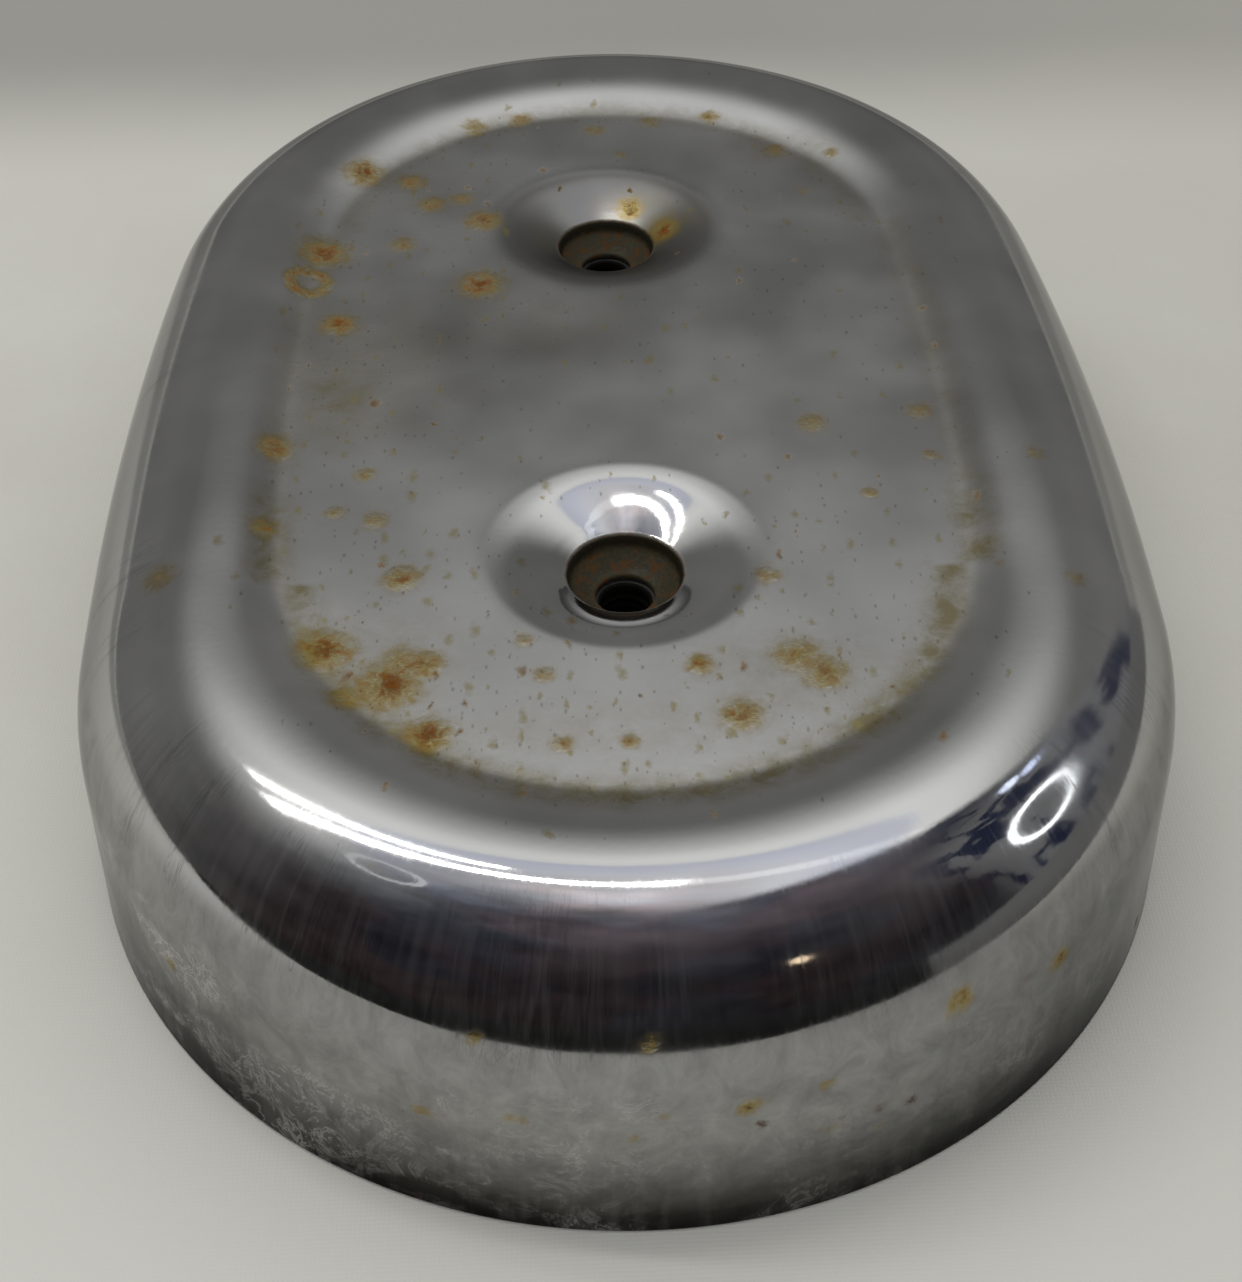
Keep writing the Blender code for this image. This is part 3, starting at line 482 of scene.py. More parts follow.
def paint_fields(obj):
    """Per-point fields the chrome shader reads: rust, stains with a painted shade along the panel valley, haze with
    painted dark reflections, freckles and run-off flow.
    """
    mesh = obj.data
    n = len(mesh.vertices)
    co = np.empty(n * 3)
    mesh.vertices.foreach_get("co", co)
    co = co.reshape(-1, 3) / MM
    x, y, z = co.T
    rust = np.zeros(n)
    for sx, sy, sz, r, s in RUST:
        d2 = (x - sx) ** 2 + (y - sy) ** 2 + ((z - sz) * 1.0) ** 2
        rust = np.maximum(rust, s * np.exp(-d2 / (r * (1.05 if sz > 35 else 0.85)) ** 2))
    d = np.hypot(np.hypot(x + 48.0, y - 26.1), z - 43.0)     # one ring-shaped bloom
    rust = np.maximum(rust, 0.95 * np.exp(-((d - 3.0) / 1.3) ** 2))
    stain_and_valley_shade = np.zeros(n)
    for sx, sy, sz, rx, ry, s in STAIN:
        q = ((x - sx) / rx) ** 2 + ((y - sy) / ry) ** 2 + ((z - sz) / 8.0) ** 2
        stain_and_valley_shade = np.maximum(stain_and_valley_shade, s * np.exp(-q))
    # distance in from the rim outline, from the nearest end centre or side arc
    ay = np.abs(y)
    r_side = (COVER_W ** 2 + COVER_C ** 2 - COVER_R ** 2) / (2.0 * (COVER_W - COVER_R))
    xc = r_side - COVER_W
    on_end = ay * xc > COVER_C * (np.abs(x) + xc)
    inset = np.where(on_end, COVER_R - np.hypot(x, ay - COVER_C), r_side - np.hypot(np.abs(x) + xc, y))
    ap = np.abs(y + PANEL_FWD)
    end_p = ap * xc > COVER_C * (np.abs(x) + xc)
    inset_p = np.where(end_p, COVER_R - np.hypot(x, ap - COVER_C) - PANEL_SHIFT, r_side - np.hypot(np.abs(x) + xc, y + PANEL_FWD))
    # painted shade: a soft dark band along the panel's valley edge, stronger at the near end, added to the stain field
    valley_shade = np.exp(-((inset_p - PANEL_INSET + 0.8) / 3.0) ** 2) * (z > 41)
    stain_and_valley_shade = np.maximum(stain_and_valley_shade, valley_shade * np.where(y < -30, 1.25, 0.65))
    near_hole = np.minimum(np.hypot(x, y - SEAT_Y), np.hypot(x, y + SEAT_Y))
    seat = np.clip((LIP_R + 0.25 - near_hole) / 0.5, 0, 1)
    top = np.clip((z - 40.5) / 1.5, 0, 1) * (inset > 22)
    top = top * (0.2 + 0.8 * np.clip((inset_p - 28.5) / 3.0, 0, 1))
    freckle = 0.3 * top * np.clip(stain_and_valley_shade * 2.5, 0, 1) + 0.25 * top + top * 0.6 * np.clip((-y - 20.0) / 50.0, 0, 1) + top * 0.35 * np.clip((-x - 10) / 30.0, 0, 1) + 0.16 * (z < 26)
    # round the far seat: greyer, rougher plating, partly worn and partly a painted dark reflection; the listed patches
    # add painted dark reflection on the panel
    dull_and_dark_reflection = np.clip((21.0 - np.hypot(x, y - SEAT_Y)) / 4.0, 0, 1) * (z > 33) * (inset > 22)
    gloss = np.clip((20.5 - np.hypot(x, y + SEAT_Y)) / 2.5, 0, 1) * (z > 33) * (inset > 22)
    for sx, sy, rx, ry, s in DARK_REFLECTION_PATCHES:
        dull_and_dark_reflection = np.maximum(dull_and_dark_reflection, 1.0 * s * np.exp(-(((x - sx) / rx) ** 2 + ((y - sy) / ry) ** 2)) * top)
    for name, arr in (("rust", rust), ("stain_and_valley_shade", stain_and_valley_shade), ("inset", inset), ("seat", seat), ("freckle", freckle), ("dull_and_dark_reflection", dull_and_dark_reflection), ("gloss", gloss)):
        mesh.attributes.new(name, "FLOAT", "POINT").data.foreach_set("value", arr.astype(np.float32))
    # run-off coordinates: foot of each station on the rim, and the way down from the crest
    k = np.where(on_end, np.hypot(x, ay - COVER_C), 1.0)
    ux = np.where(on_end, x / np.maximum(k, 1e-6), np.sign(x) * (np.abs(x) + xc) / np.maximum(np.hypot(np.abs(x) + xc, y), 1e-6))
    uy = np.where(on_end, np.sign(y) * (ay - COVER_C) / np.maximum(k, 1e-6), y / np.maximum(np.hypot(np.abs(x) + xc, y), 1e-6))
    fx, fy = x + ux * inset, y + uy * inset
    down = inset - z
    flow = np.column_stack([fx, fy, down]).astype(np.float32)
    mesh.attributes.new("flow", "FLOAT_VECTOR", "POINT").data.foreach_set("vector", flow.ravel())


paint_fields(cover)


def chrome_material():
    mat = new_material("aged_chrome")
    t = Tree(mat.node_tree)
    p = t.vmath("SCALE", t.coords(), 1000.0)                      # millimetres
    flow = t.node("ShaderNodeAttribute", attribute_name="flow").outputs["Vector"]
    rust_f, stain_and_valley_shade_field = t.attribute("rust"), t.attribute("stain_and_valley_shade")
    inset, seat, freckle = t.attribute("inset"), t.attribute("seat"), t.attribute("freckle")
    pz = t.split(p)[2]

    crust_noise = t.noise(p, 0.62, 4.0, 0.66, 0.5)
    fine_noise = t.noise(p, 2.2, 3.0, 0.7)
    broad = t.noise(p, 0.055, 2.0, 0.5)

    # rust: small dark cores in soft olive-yellow halos, broken up by noise
    rough_n = t.math("ADD", t.math("MULTIPLY", t.math("SUBTRACT", crust_noise, 0.5), 1.15),
                     t.math("MULTIPLY", t.math("SUBTRACT", fine_noise, 0.5), 0.45))
    alive = t.remap(rust_f, 0.03, 0.42, smooth=True)
    field = t.math("ADD", rust_f, rough_n)
    core = t.math("MULTIPLY", t.remap(field, 0.60, 1.12, smooth=True), alive)
    halo = t.math("MULTIPLY", t.remap(field, 0.0, 0.80, smooth=True), alive)
    # freckles: small olive smears, drawn out along the length of the cover
    warped = t.vmath("ADD", t.mapping(p, scale=(1.0, 0.60, 1.0)), t.vmath("SCALE", t.noise(p, 0.5, 2.0, color=True), 1.8))
    on_top = t.remap(pz, 37.0, 41.0)

    def specks(vec, scale, share, size, flat):
        """Round-edged dots in some of the cells; returns the dots and each cell's random colour."""
        cell = t.node("ShaderNodeTexVoronoi", voronoi_dimensions="2D" if flat else "3D")
        t.put(cell.inputs["Vector"], vec)
        cell.inputs["Scale"].default_value = scale
        lot = t.split(cell.outputs["Color"])
        r = t.remap(lot[0], t.math("SUBTRACT", 1.0, t.math("MULTIPLY", freckle, share)), 1.0, 0.0, size)
        away = t.math("ADD", cell.outputs["Distance"], t.math("MULTIPLY", t.math("SUBTRACT", fine_noise, 0.5), 0.22))
        dot = t.remap(away, r, 0.0, 0.0, 1.0, smooth=True)
        return t.math("MULTIPLY", dot, t.math("GREATER_THAN", r, 0.02)), lot

    dots, lot = specks(warped, 0.32, 0.80, 0.40, True)
    dots = t.math("MULTIPLY", dots, on_top)
    rusty = t.math("GREATER_THAN", lot[1], 0.82)
    pits, _ = specks(t.mapping(p, scale=(1.0, 0.50, 1.0)), 0.72, 0.55, 0.24, True)
    pits = t.math("MULTIPLY", pits, on_top)
    wall_spots, _ = specks(t.vmath("ADD", p, t.vmath("SCALE", t.noise(p, 0.5, 2.0, color=True), 1.5)), 0.22, 0.9, 0.36, False)
    wall_spots = t.math("MULTIPLY", wall_spots, t.math("SUBTRACT", 1.0, on_top))

    # stains and the painted valley shade, broken up by noise, become a brown film
    stain_and_valley_shade_broken = t.math("MULTIPLY", stain_and_valley_shade_field, t.remap(t.noise(p, 0.26, 4.0, 0.66, 0.4), 0.34, 0.68, 0.35, 1.2))
    film = t.math("MULTIPLY", stain_and_valley_shade_broken, 0.8, clamp=True)
    film = t.math("MAXIMUM", film, t.math("MULTIPLY", dots, 0.8))
    film = t.math("MAXIMUM", film, t.math("MULTIPLY", seat, 0.92))
    crust = t.math("MAXIMUM", core, t.math("MULTIPLY", t.math("MULTIPLY", dots, rusty), 0.55))
    crust = t.math("MAXIMUM", crust, t.math("MULTIPLY", wall_spots, 0.85))
    seat_rust = t.math("MULTIPLY", seat, t.remap(crust_noise, 0.42, 0.6))
    crust = t.math("MAXIMUM", crust, t.math("MULTIPLY", seat_rust, 0.9), clamp=True)

    # pale film of dried water and polish: runs down the wall, streaks over the shoulder
    wall = t.remap(pz, 31.0, 24.0, 0.0, 1.0, smooth=True)
    shoulder = t.math("MULTIPLY", t.remap(inset, 19.0, 11.0, smooth=True), t.remap(pz, 22.0, 28.0))
    runs = t.noise(t.mapping(flow, scale=(0.5, 0.5, 0.045)), 1.0, 3.0, 0.62, 0.3)
    cloud = t.noise(t.mapping(flow, scale=(0.05, 0.05, 0.09)), 1.0, 4.0, 0.65, 0.8)
    marks = t.noise(t.mapping(flow, scale=(0.17, 0.17, 0.17)), 1.0, 5.0, 0.74, 1.2)
    marks = t.remap(t.math("ABSOLUTE", t.math("SUBTRACT", marks, 0.5)), 0.045, 0.0, smooth=True)
    marks = t.math("MULTIPLY", marks, t.remap(cloud, 0.46, 0.62))
    side = t.math("MAXIMUM", t.remap(t.split(p)[0], 30.0, -70.0, 0.45, 1.3), t.remap(t.split(p)[0], 55.0, 70.0, 0.0, 1.2))
    dust = t.math("MULTIPLY", wall, t.remap(t.math("ADD", t.math("MULTIPLY", runs, 0.45), t.math("MULTIPLY", cloud, 0.65)), 0.50, 0.80, 0.0, 0.22))
    dust = t.math("MULTIPLY", t.math("ADD", dust, t.math("MULTIPLY", marks, t.math("MULTIPLY", wall, 0.34))), side)
    streaks = t.noise(t.mapping(flow, scale=(0.40, 0.40, 0.22)), 1.0, 5.0, 0.76, 1.4)
    smears = t.math("MULTIPLY", t.remap(streaks, 0.44, 0.70, 0.0, 0.055), t.remap(cloud, 0.40, 0.62, 0.15, 1.0))
    dust = t.math("ADD", dust, t.math("MULTIPLY", shoulder, smears))
    top_haze = t.math("MULTIPLY", t.remap(pz, 38.0, 42.0), t.remap(broad, 0.35, 0.65, 0.01, 0.05))
    dust = t.math("ADD", dust, top_haze, clamp=True)

    # hairline scratches down the shoulder, dark where dirt sits in them
    hair = t.noise(t.mapping(flow, scale=(0.50, 0.50, 0.12)), 1.0, 3.0, 0.66, 1.6)
    hair_lines = t.math("MULTIPLY", t.remap(t.math("ABSOLUTE", t.math("SUBTRACT", hair, 0.5)), 0.028, 0.0), t.remap(inset, 22.0, 16.0))
    dirt_lines = t.math("MULTIPLY", t.math("MULTIPLY", hair_lines, t.remap(pz, 27.0, 33.0)), t.math("MULTIPLY", shoulder, t.remap(cloud, 0.50, 0.62)))

    chrome = t.mix(t.remap(t.noise(p, 0.03, 2.0), 0.35, 0.65), (0.54, 0.542, 0.545), (0.60, 0.602, 0.61))
    px = t.split(p)[0]
    # painted shade on the wall: below the shoulder the base colour follows a ramp by height, darkest at the rim,
    # standing in for the shaded floor next to the cover that the wall reflects; cloud noise breaks up its bands
    wall_shade_height = t.math("ADD", pz, t.math("MULTIPLY", t.math("SUBTRACT", cloud, 0.5), 5.0))
    wall_shade_height = t.math("ADD", wall_shade_height, t.remap(px, -65.0, 60.0, -2.5, 2.5))
    painted_wall_shade = t.ramp(t.math("DIVIDE", wall_shade_height, 33.0), [(0.0, (0.020, 0.019, 0.017)), (0.10, (0.050, 0.049, 0.045)), (0.17, (0.095, 0.094, 0.088)), (0.28, (0.17, 0.169, 0.162)),
                  (0.42, (0.25, 0.249, 0.241)), (0.53, (0.325, 0.324, 0.315)), (0.63, (0.335, 0.335, 0.328)), (0.80, (0.31, 0.31, 0.306)), (1.0, (0.31, 0.31, 0.308))])
    # painted shade: the wall is darker towards the right
    painted_wall_shade = t.mix(1.0, painted_wall_shade, t.mix(t.remap(px, 5.0, 65.0), (1.0, 1.0, 1.0), (0.86, 0.86, 0.86)), "MULTIPLY")
    # random tone, with painted light: up to 1.85 times lighter towards the two side ends
    mottle = t.math("MULTIPLY", t.remap(t.noise(flow, 0.22, 5.0, 0.72, 0.6), 0.32, 0.68, 0.80, 1.20), t.remap(t.math("ABSOLUTE", px), 52.0, 74.0, 1.0, 1.85))
    painted_wall_shade = t.vmath("SCALE", painted_wall_shade, mottle)
    # the wall below the shoulder takes the painted shade as its base colour
    chrome = t.mix(t.remap(pz, 36.0, 32.5, smooth=True), chrome, painted_wall_shade)
    chrome = t.mix(t.math("MULTIPLY", dirt_lines, 0.35), chrome, (0.03, 0.03, 0.035))
    # painted dark reflection: these patches turn the base colour grey
    dull_and_dark_reflection = t.math("MULTIPLY", t.attribute("dull_and_dark_reflection"), t.remap(broad, 0.3, 0.7, 0.75, 1.0))
    chrome = t.mix(t.math("MULTIPLY", dull_and_dark_reflection, 0.90), chrome, (0.135, 0.132, 0.125))
    film_colour = t.mix(fine_noise, (0.16, 0.125, 0.045), (0.27, 0.225, 0.095))
    halo_colour = t.mix(t.remap(crust_noise, 0.35, 0.65), (0.33, 0.265, 0.065), (0.29, 0.185, 0.028))
    rust_colour = t.ramp(t.math("ADD", t.math("MULTIPLY", crust_noise, 0.5), t.math("MULTIPLY", fine_noise, 0.5)),
                         [(0.36, (0.035, 0.011, 0.002)), (0.46, (0.095, 0.027, 0.004)), (0.54, (0.17, 0.050, 0.005)), (0.66, (0.25, 0.105, 0.012))])
    rust_colour = t.mix(t.remap(pz, 38.0, 32.0), rust_colour, t.mix(0.55, rust_colour, (0.02, 0.012, 0.006)))
    base = t.mix(t.math("MULTIPLY", dust, 0.85), chrome, (0.62, 0.615, 0.60))
    base = t.mix(t.math("MULTIPLY", film, 0.85), base, t.mix(dots, film_colour, (0.29, 0.235, 0.055)))
    base = t.mix(t.math("MULTIPLY", halo, 0.80), base, halo_colour)
    base = t.mix(t.math("MULTIPLY", pits, 0.5), base, (0.13, 0.105, 0.045))
    base = t.mix(crust, base, rust_colour)
    seat_colour = t.mix(t.remap(crust_noise, 0.50, 0.62), t.mix(fine_noise, (0.030, 0.027, 0.016), (0.070, 0.062, 0.040)), (0.095, 0.045, 0.015))
    seat_colour = t.mix(t.remap(t.math("ADD", pz, t.math("MULTIPLY", t.math("SUBTRACT", crust_noise, 0.5), 2.0)), 36.7, 37.9, smooth=True), seat_colour, (0.018, 0.016, 0.009))
    base = t.mix(seat, base, seat_colour)

    metal = t.math("SUBTRACT", 1.0, dust)
    metal = t.math("SUBTRACT", metal, t.math("MULTIPLY", film, 0.08))
    metal = t.math("SUBTRACT", metal, t.math("MULTIPLY", halo, 0.10))
    solid_rust = t.math("SUBTRACT", crust, t.math("MULTIPLY", t.math("MULTIPLY", dots, rusty), 0.38), clamp=True)
    metal = t.math("MULTIPLY", metal, t.math("SUBTRACT", 1.0, t.math("MULTIPLY", t.math("MAXIMUM", solid_rust, seat), 0.96)), clamp=True)

    panel = t.math("MULTIPLY", t.remap(inset, 23.0, 31.0, 0.0, 1.0, smooth=True), 1.0)
    rough = t.mixf(t.math("MULTIPLY", panel, t.math("SUBTRACT", 1.0, t.attribute("gloss"))), 0.06, 0.19)
    rough = t.math("ADD", rough, t.math("MULTIPLY", wall, 0.07))
    rough = t.math("ADD", rough, t.remap(broad, 0.35, 0.65, -0.02, 0.05))
    rough = t.math("ADD", rough, t.math("MULTIPLY", hair_lines, 0.05))
    rough = t.math("ADD", rough, t.math("MULTIPLY", dust, 0.25))
    rough = t.math("ADD", rough, t.math("MULTIPLY", dull_and_dark_reflection, 0.12))
    rough = t.math("ADD", rough, t.math("MULTIPLY", t.math("MAXIMUM", film, halo), 0.12))
    rough = t.math("ADD", rough, t.math("MULTIPLY", crust, 0.55), clamp=True)

    height = t.math("MULTIPLY", t.math("MAXIMUM", t.remap(rust_f, 0.40, 0.95), seat), t.math("MULTIPLY", t.noise(p, 1.7, 3.0, 0.7), 0.11))
    height = t.math("ADD", height, t.math("MULTIPLY", t.noise(p, 0.9, 1.0), 0.0035))
    normal = t.bump(height, 0.001, 1.0)
    shader = t.principled(Base_Color=base, Metallic=metal, Roughness=rough, Normal=normal)
    shader.inputs["Specular Tint"].default_value = (0.55, 0.55, 0.55, 1.0)
    shader.inputs["Specular IOR Level"].default_value = 0.2
    return mat


def bare_inside_material():
    """The unpolished inner face: matt nickel flash with rust bloom and dust."""
    mat = new_material("cover_inside")
    t = Tree(mat.node_tree)
    p = t.vmath("SCALE", t.coords(), 1000.0)
    big = t.noise(p, 0.06, 5.0, 0.65, 0.5)
    fine = t.noise(p, 0.9, 5.0, 0.7)
    mottled = t.math("ADD", t.math("MULTIPLY", big, 0.6), t.math("MULTIPLY", fine, 0.4))
    rust = t.remap(mottled, 0.50, 0.62, smooth=True)
    base = t.mix(fine, (0.33, 0.33, 0.32), (0.46, 0.455, 0.44))
    base = t.mix(rust, base, t.mix(fine, (0.13, 0.06, 0.025), (0.27, 0.13, 0.05)))
    rough = t.mixf(rust, 0.42, 0.8)
    metal = t.mixf(rust, 0.92, 0.1)
    draw = t.noise(t.mapping(p, scale=(0.05, 3.0, 0.6)), 1.0, 3.0)
    height = t.math("ADD", t.math("MULTIPLY", fine, 0.05), t.math("MULTIPLY", draw, 0.01))
    t.principled(Base_Color=base, Metallic=metal, Roughness=rough, Normal=t.bump(height, 0.001, 0.8))
    return mat


cover.data.materials.append(chrome_material())
cover.data.materials.append(bare_inside_material())
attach(cover, "cover")
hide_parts("cover_shell")

# ------------------------------------------------------------------ finishes of the pieces inside
def metal_material(name, low, high, rough, grain=1.4, tarnish=(0.20, 0.17, 0.12), amount=0.35, brushed=None, metallic=0.95, bump=0.05):
    """Dulled metal: tone drift, tarnish in patches, fine grain in roughness and bump."""
    mat = new_material(name)
    t = Tree(mat.node_tree)
    p = t.vmath("SCALE", t.coords(), 1000.0)
    drift = t.noise(p, 0.11, 3.0, 0.6)
    fine = t.noise(p if brushed is None else t.mapping(p, scale=brushed), grain, 3.0, 0.65)
    patch = t.remap(t.noise(p, 0.35, 4.0, 0.68, 0.5), 0.52, 0.66, smooth=True)
    base = t.mix(t.math("ADD", t.math("MULTIPLY", drift, 0.5), t.math("MULTIPLY", fine, 0.5)), low, high)
    base = t.mix(t.math("MULTIPLY", patch, amount), base, tarnish)
    r = t.math("ADD", t.remap(fine, 0.3, 0.7, rough - 0.08, rough + 0.10), t.math("MULTIPLY", patch, 0.2), clamp=True)
    m = t.math("SUBTRACT", metallic, t.math("MULTIPLY", patch, 0.5 * amount))
    t.principled(Base_Color=base, Metallic=m, Roughness=r, Normal=t.bump(fine, 0.001 * bump, 0.6))
    return mat


def paint_material():
    """Satin black stoving paint: dust film on the flats, chips down to steel and rust."""
    mat = new_material("plate_paint")
    t = Tree(mat.node_tree)
    p = t.vmath("SCALE", t.coords(), 1000.0)
    fine = t.noise(p, 1.1, 4.0, 0.65)
    cloud = t.noise(p, 0.06, 4.0, 0.6, 0.6)
    up = t.remap(t.split(t.node("ShaderNodeNewGeometry").outputs["Normal"])[2], 0.4, 0.95)
    dust = t.math("MULTIPLY", t.remap(t.math("ADD", t.math("MULTIPLY", cloud, 0.7), t.math("MULTIPLY", fine, 0.3)), 0.38, 0.68, 0.04, 0.42), t.math("ADD", t.math("MULTIPLY", up, 0.8), 0.2))
    chips = t.remap(t.noise(p, 0.42, 4.0, 0.7), 0.665, 0.685)
    base = t.mix(fine, (0.018, 0.018, 0.02), (0.034, 0.034, 0.036))
    base = t.mix(dust, base, (0.26, 0.235, 0.19))
    base = t.mix(chips, base, t.mix(fine, (0.10, 0.05, 0.025), (0.22, 0.12, 0.06)))
    rough = t.math("ADD", t.remap(fine, 0.3, 0.7, 0.30, 0.42), t.math("MULTIPLY", dust, 0.9), clamp=True)
    height = t.math("SUBTRACT", t.math("MULTIPLY", fine, 0.03), t.math("MULTIPLY", chips, 0.06))
    t.principled(Base_Color=base, Roughness=rough, Metallic=0.0, Normal=t.bump(height, 0.001, 0.8))
    return mat


def rubber_material():
    """Black rubber with a greyish bloom and moulding grain."""
    mat = new_material("rubber_black")
    t = Tree(mat.node_tree)
    p = t.vmath("SCALE", t.coords(), 1000.0)
    fine = t.noise(p, 2.2, 3.0, 0.6)
    bloom = t.remap(t.noise(p, 0.18, 4.0, 0.65, 0.4), 0.42, 0.7)
    base = t.mix(t.math("MULTIPLY", bloom, 0.55), t.mix(fine, (0.016, 0.016, 0.016), (0.03, 0.03, 0.03)), (0.085, 0.08, 0.075))
    rough = t.remap(fine, 0.3, 0.7, 0.62, 0.82)
    t.principled(Base_Color=base, Roughness=rough, Metallic=0.0, Normal=t.bump(fine, 0.00005, 0.7))
    return mat


def fibre_material():
    """Compressed fibre sheet, oil-darkened in patches."""
    mat = new_material("gasket_fibre")
    t = Tree(mat.node_tree)
    p = t.vmath("SCALE", t.coords(), 1000.0)
    strands = t.noise(t.mapping(p, scale=(0.8, 3.5, 1.0), rot=(0, 0, 0.5)), 1.0, 4.0, 0.65)
    oil = t.remap(t.noise(p, 0.09, 3.0, 0.6, 0.5), 0.40, 0.62)
    base = t.mix(strands, (0.10, 0.085, 0.07), (0.21, 0.185, 0.155))
    base = t.mix(t.math("MULTIPLY", oil, 0.7), base, (0.035, 0.028, 0.022))
    rough = t.mixf(oil, 0.88, 0.5)
    t.principled(Base_Color=base, Roughness=rough, Metallic=0.0, Normal=t.bump(strands, 0.00006, 0.8))
    return mat


def paper_material():
    """Resin-treated filter paper: ochre, fibre-flecked, grey with dust on the outer folds."""
    mat = new_material("filter_paper")
    t = Tree(mat.node_tree)
    p = t.vmath("SCALE", t.coords(), 1000.0)
    fibre = t.noise(t.mapping(p, scale=(1.0, 1.0, 2.4)), 2.0, 4.0, 0.7)
    cloud = t.noise(p, 0.07, 3.0, 0.6, 0.4)
    depth = t.attribute("fold")
    base = t.mix(fibre, (0.50, 0.36, 0.17), (0.66, 0.51, 0.27))
    dirt = t.math("MULTIPLY", t.remap(depth, 0.25, 1.0), t.remap(cloud, 0.35, 0.65, 0.35, 0.85))
    base = t.mix(dirt, base, (0.20, 0.175, 0.14))
    t.principled(Base_Color=base, Roughness=t.remap(fibre, 0.3, 0.7, 0.82, 0.96), Metallic=0.0, Normal=t.bump(fibre, 0.00005, 0.8))
    return mat


ZINC = metal_material("zinc", (0.44, 0.445, 0.45), (0.60, 0.60, 0.61), 0.34)
ALLOY = metal_material("spun_alloy", (0.52, 0.53, 0.54), (0.66, 0.67, 0.68), 0.36, grain=1.0, brushed=(0.15, 0.15, 3.0), tarnish=(0.30, 0.28, 0.24), amount=0.3)
GALV = metal_material("galvanised", (0.36, 0.37, 0.38), (0.56, 0.57, 0.58), 0.46, grain=0.5, tarnish=(0.22, 0.19, 0.14), amount=0.45)
# painted shade: near-black, barely reflective finish for the tapped bores and the washers' inner faces, standing in
# for the shade down the cover's holes, with old oil on the threads
OILED_AND_SHADED = metal_material("oiled_thread_and_painted_shade", (0.004, 0.004, 0.004), (0.010, 0.009, 0.007), 0.75, metallic=0.0, tarnish=(0.008, 0.006, 0.004))
for node in OILED_AND_SHADED.node_tree.nodes:
    if node.type == "BSDF_PRINCIPLED":
        node.inputs["Specular IOR Level"].default_value = 0.05
PAINT = paint_material()
RUBBER = rubber_material()
FIBRE = fibre_material()
PAPER = paper_material()

# ------------------------------------------------------------------ pieces under the cover
# The same sizes as the frame's solids, with rolled edges, threads, pleats and punched holes.
ELEM_R, ELEM_C, ELEM_W, ELEM_D = 44.5, 36.4, 46.0, 10.2
PLATE_R, PLATE_C, PLATE_W, PLATE_TOP, PLATE_T = 68.0, 40.5, 69.5, 11.2, 1.2
BORE_R, SCREW_PCR, SCREW_ANGLES = 18.0, 28.0, (15.0, 135.0, 255.0)
SCREWS = [(SCREW_PCR * cos(radians(a)), SCREW_PCR * sin(radians(a))) for a in SCREW_ANGLES]
BREATHER = (20.0, -46.0)


def rounded(points, radius, steps=4):
    """A closed section with each corner filleted; radius is one value or one per corner."""
    n = len(points)
    radii = radius if isinstance(radius, (list, tuple)) else [radius] * n
    out = []
    for k in range(n):
        p, a, b = Vector(points[k]), Vector(points[k - 1]), Vector(points[(k + 1) % n])
        u, v = a - p, b - p
        lu, lv = u.length, v.length
        u, v = u / lu, v / lv
        half = acos(max(-1.0, min(1.0, u.dot(v)))) / 2
        if radii[k] <= 0 or half > pi / 2 - 0.02:
            out.append(tuple(p))
            continue
        cut = min(radii[k] / tan(half), 0.49 * lu, 0.49 * lv)
        r = cut * tan(half)
        centre = p + (u + v).normalized() * (r / sin(half))
        s, e = p + u * cut, p + v * cut
        a0 = atan2(s.y - centre.y, s.x - centre.x)
        turn = (atan2(e.y - centre.y, e.x - centre.x) - a0 + pi) % (2 * pi) - pi
        out += [(centre.x + r * cos(a0 + turn * j / steps), centre.y + r * sin(a0 + turn * j / steps)) for j in range(steps + 1)]
    return out


def add_rings(bm, rings, closed=False):
    rows = [[bm.verts.new(p) for p in ring] for ring in rings]
    pairs = list(zip(rows, rows[1:])) + ([(rows[-1], rows[0])] if closed else [])
    for a, b in pairs:
        n = len(a)
        for k in range(n):
            bm.faces.new((a[k], a[(k + 1) % n], b[(k + 1) % n], b[k]))
    return rows


def piece(name, bm, mat, body, nodes, angle=38.0, solid=True):
    """Finish a mesh given in millimetres and put it on its body."""
    if solid:
        bmesh.ops.recalc_face_normals(bm, faces=bm.faces)
    bmesh.ops.scale(bm, vec=(MM, MM, MM), verts=bm.verts)
    mesh = bpy.data.meshes.new(name)
    bm.to_mesh(mesh)
    bm.free()
    mesh.shade_smooth()
    mesh.set_sharp_from_angle(angle=radians(angle))
    mesh.materials.append(mat)
    obj = bpy.data.objects.new(name, mesh)
    scene.collection.objects.link(obj)
    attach(obj, body)
    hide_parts(*nodes)
    return obj


def circle_at(r, z, at=(0.0, 0.0), n=72, spin=0.0):
    return [(at[0] + r * cos(spin + 2 * pi * k / n), at[1] + r * sin(spin + 2 * pi * k / n), z) for k in range(n)]


def hex_at(flats, z, cone, at, spin, n=72):
    """A hexagon whose corners are cut back to a cone radius, as turned chamfers cut them."""
    out = []
    for k in range(n):
        a = 2 * pi * k / n
        m = (a + pi / 6) % (pi / 3) - pi / 6
        r = min(flats / 2 / cos(m), cone)
        out.append((at[0] + r * cos(a + spin), at[1] + r * sin(a + spin), z))
    return out


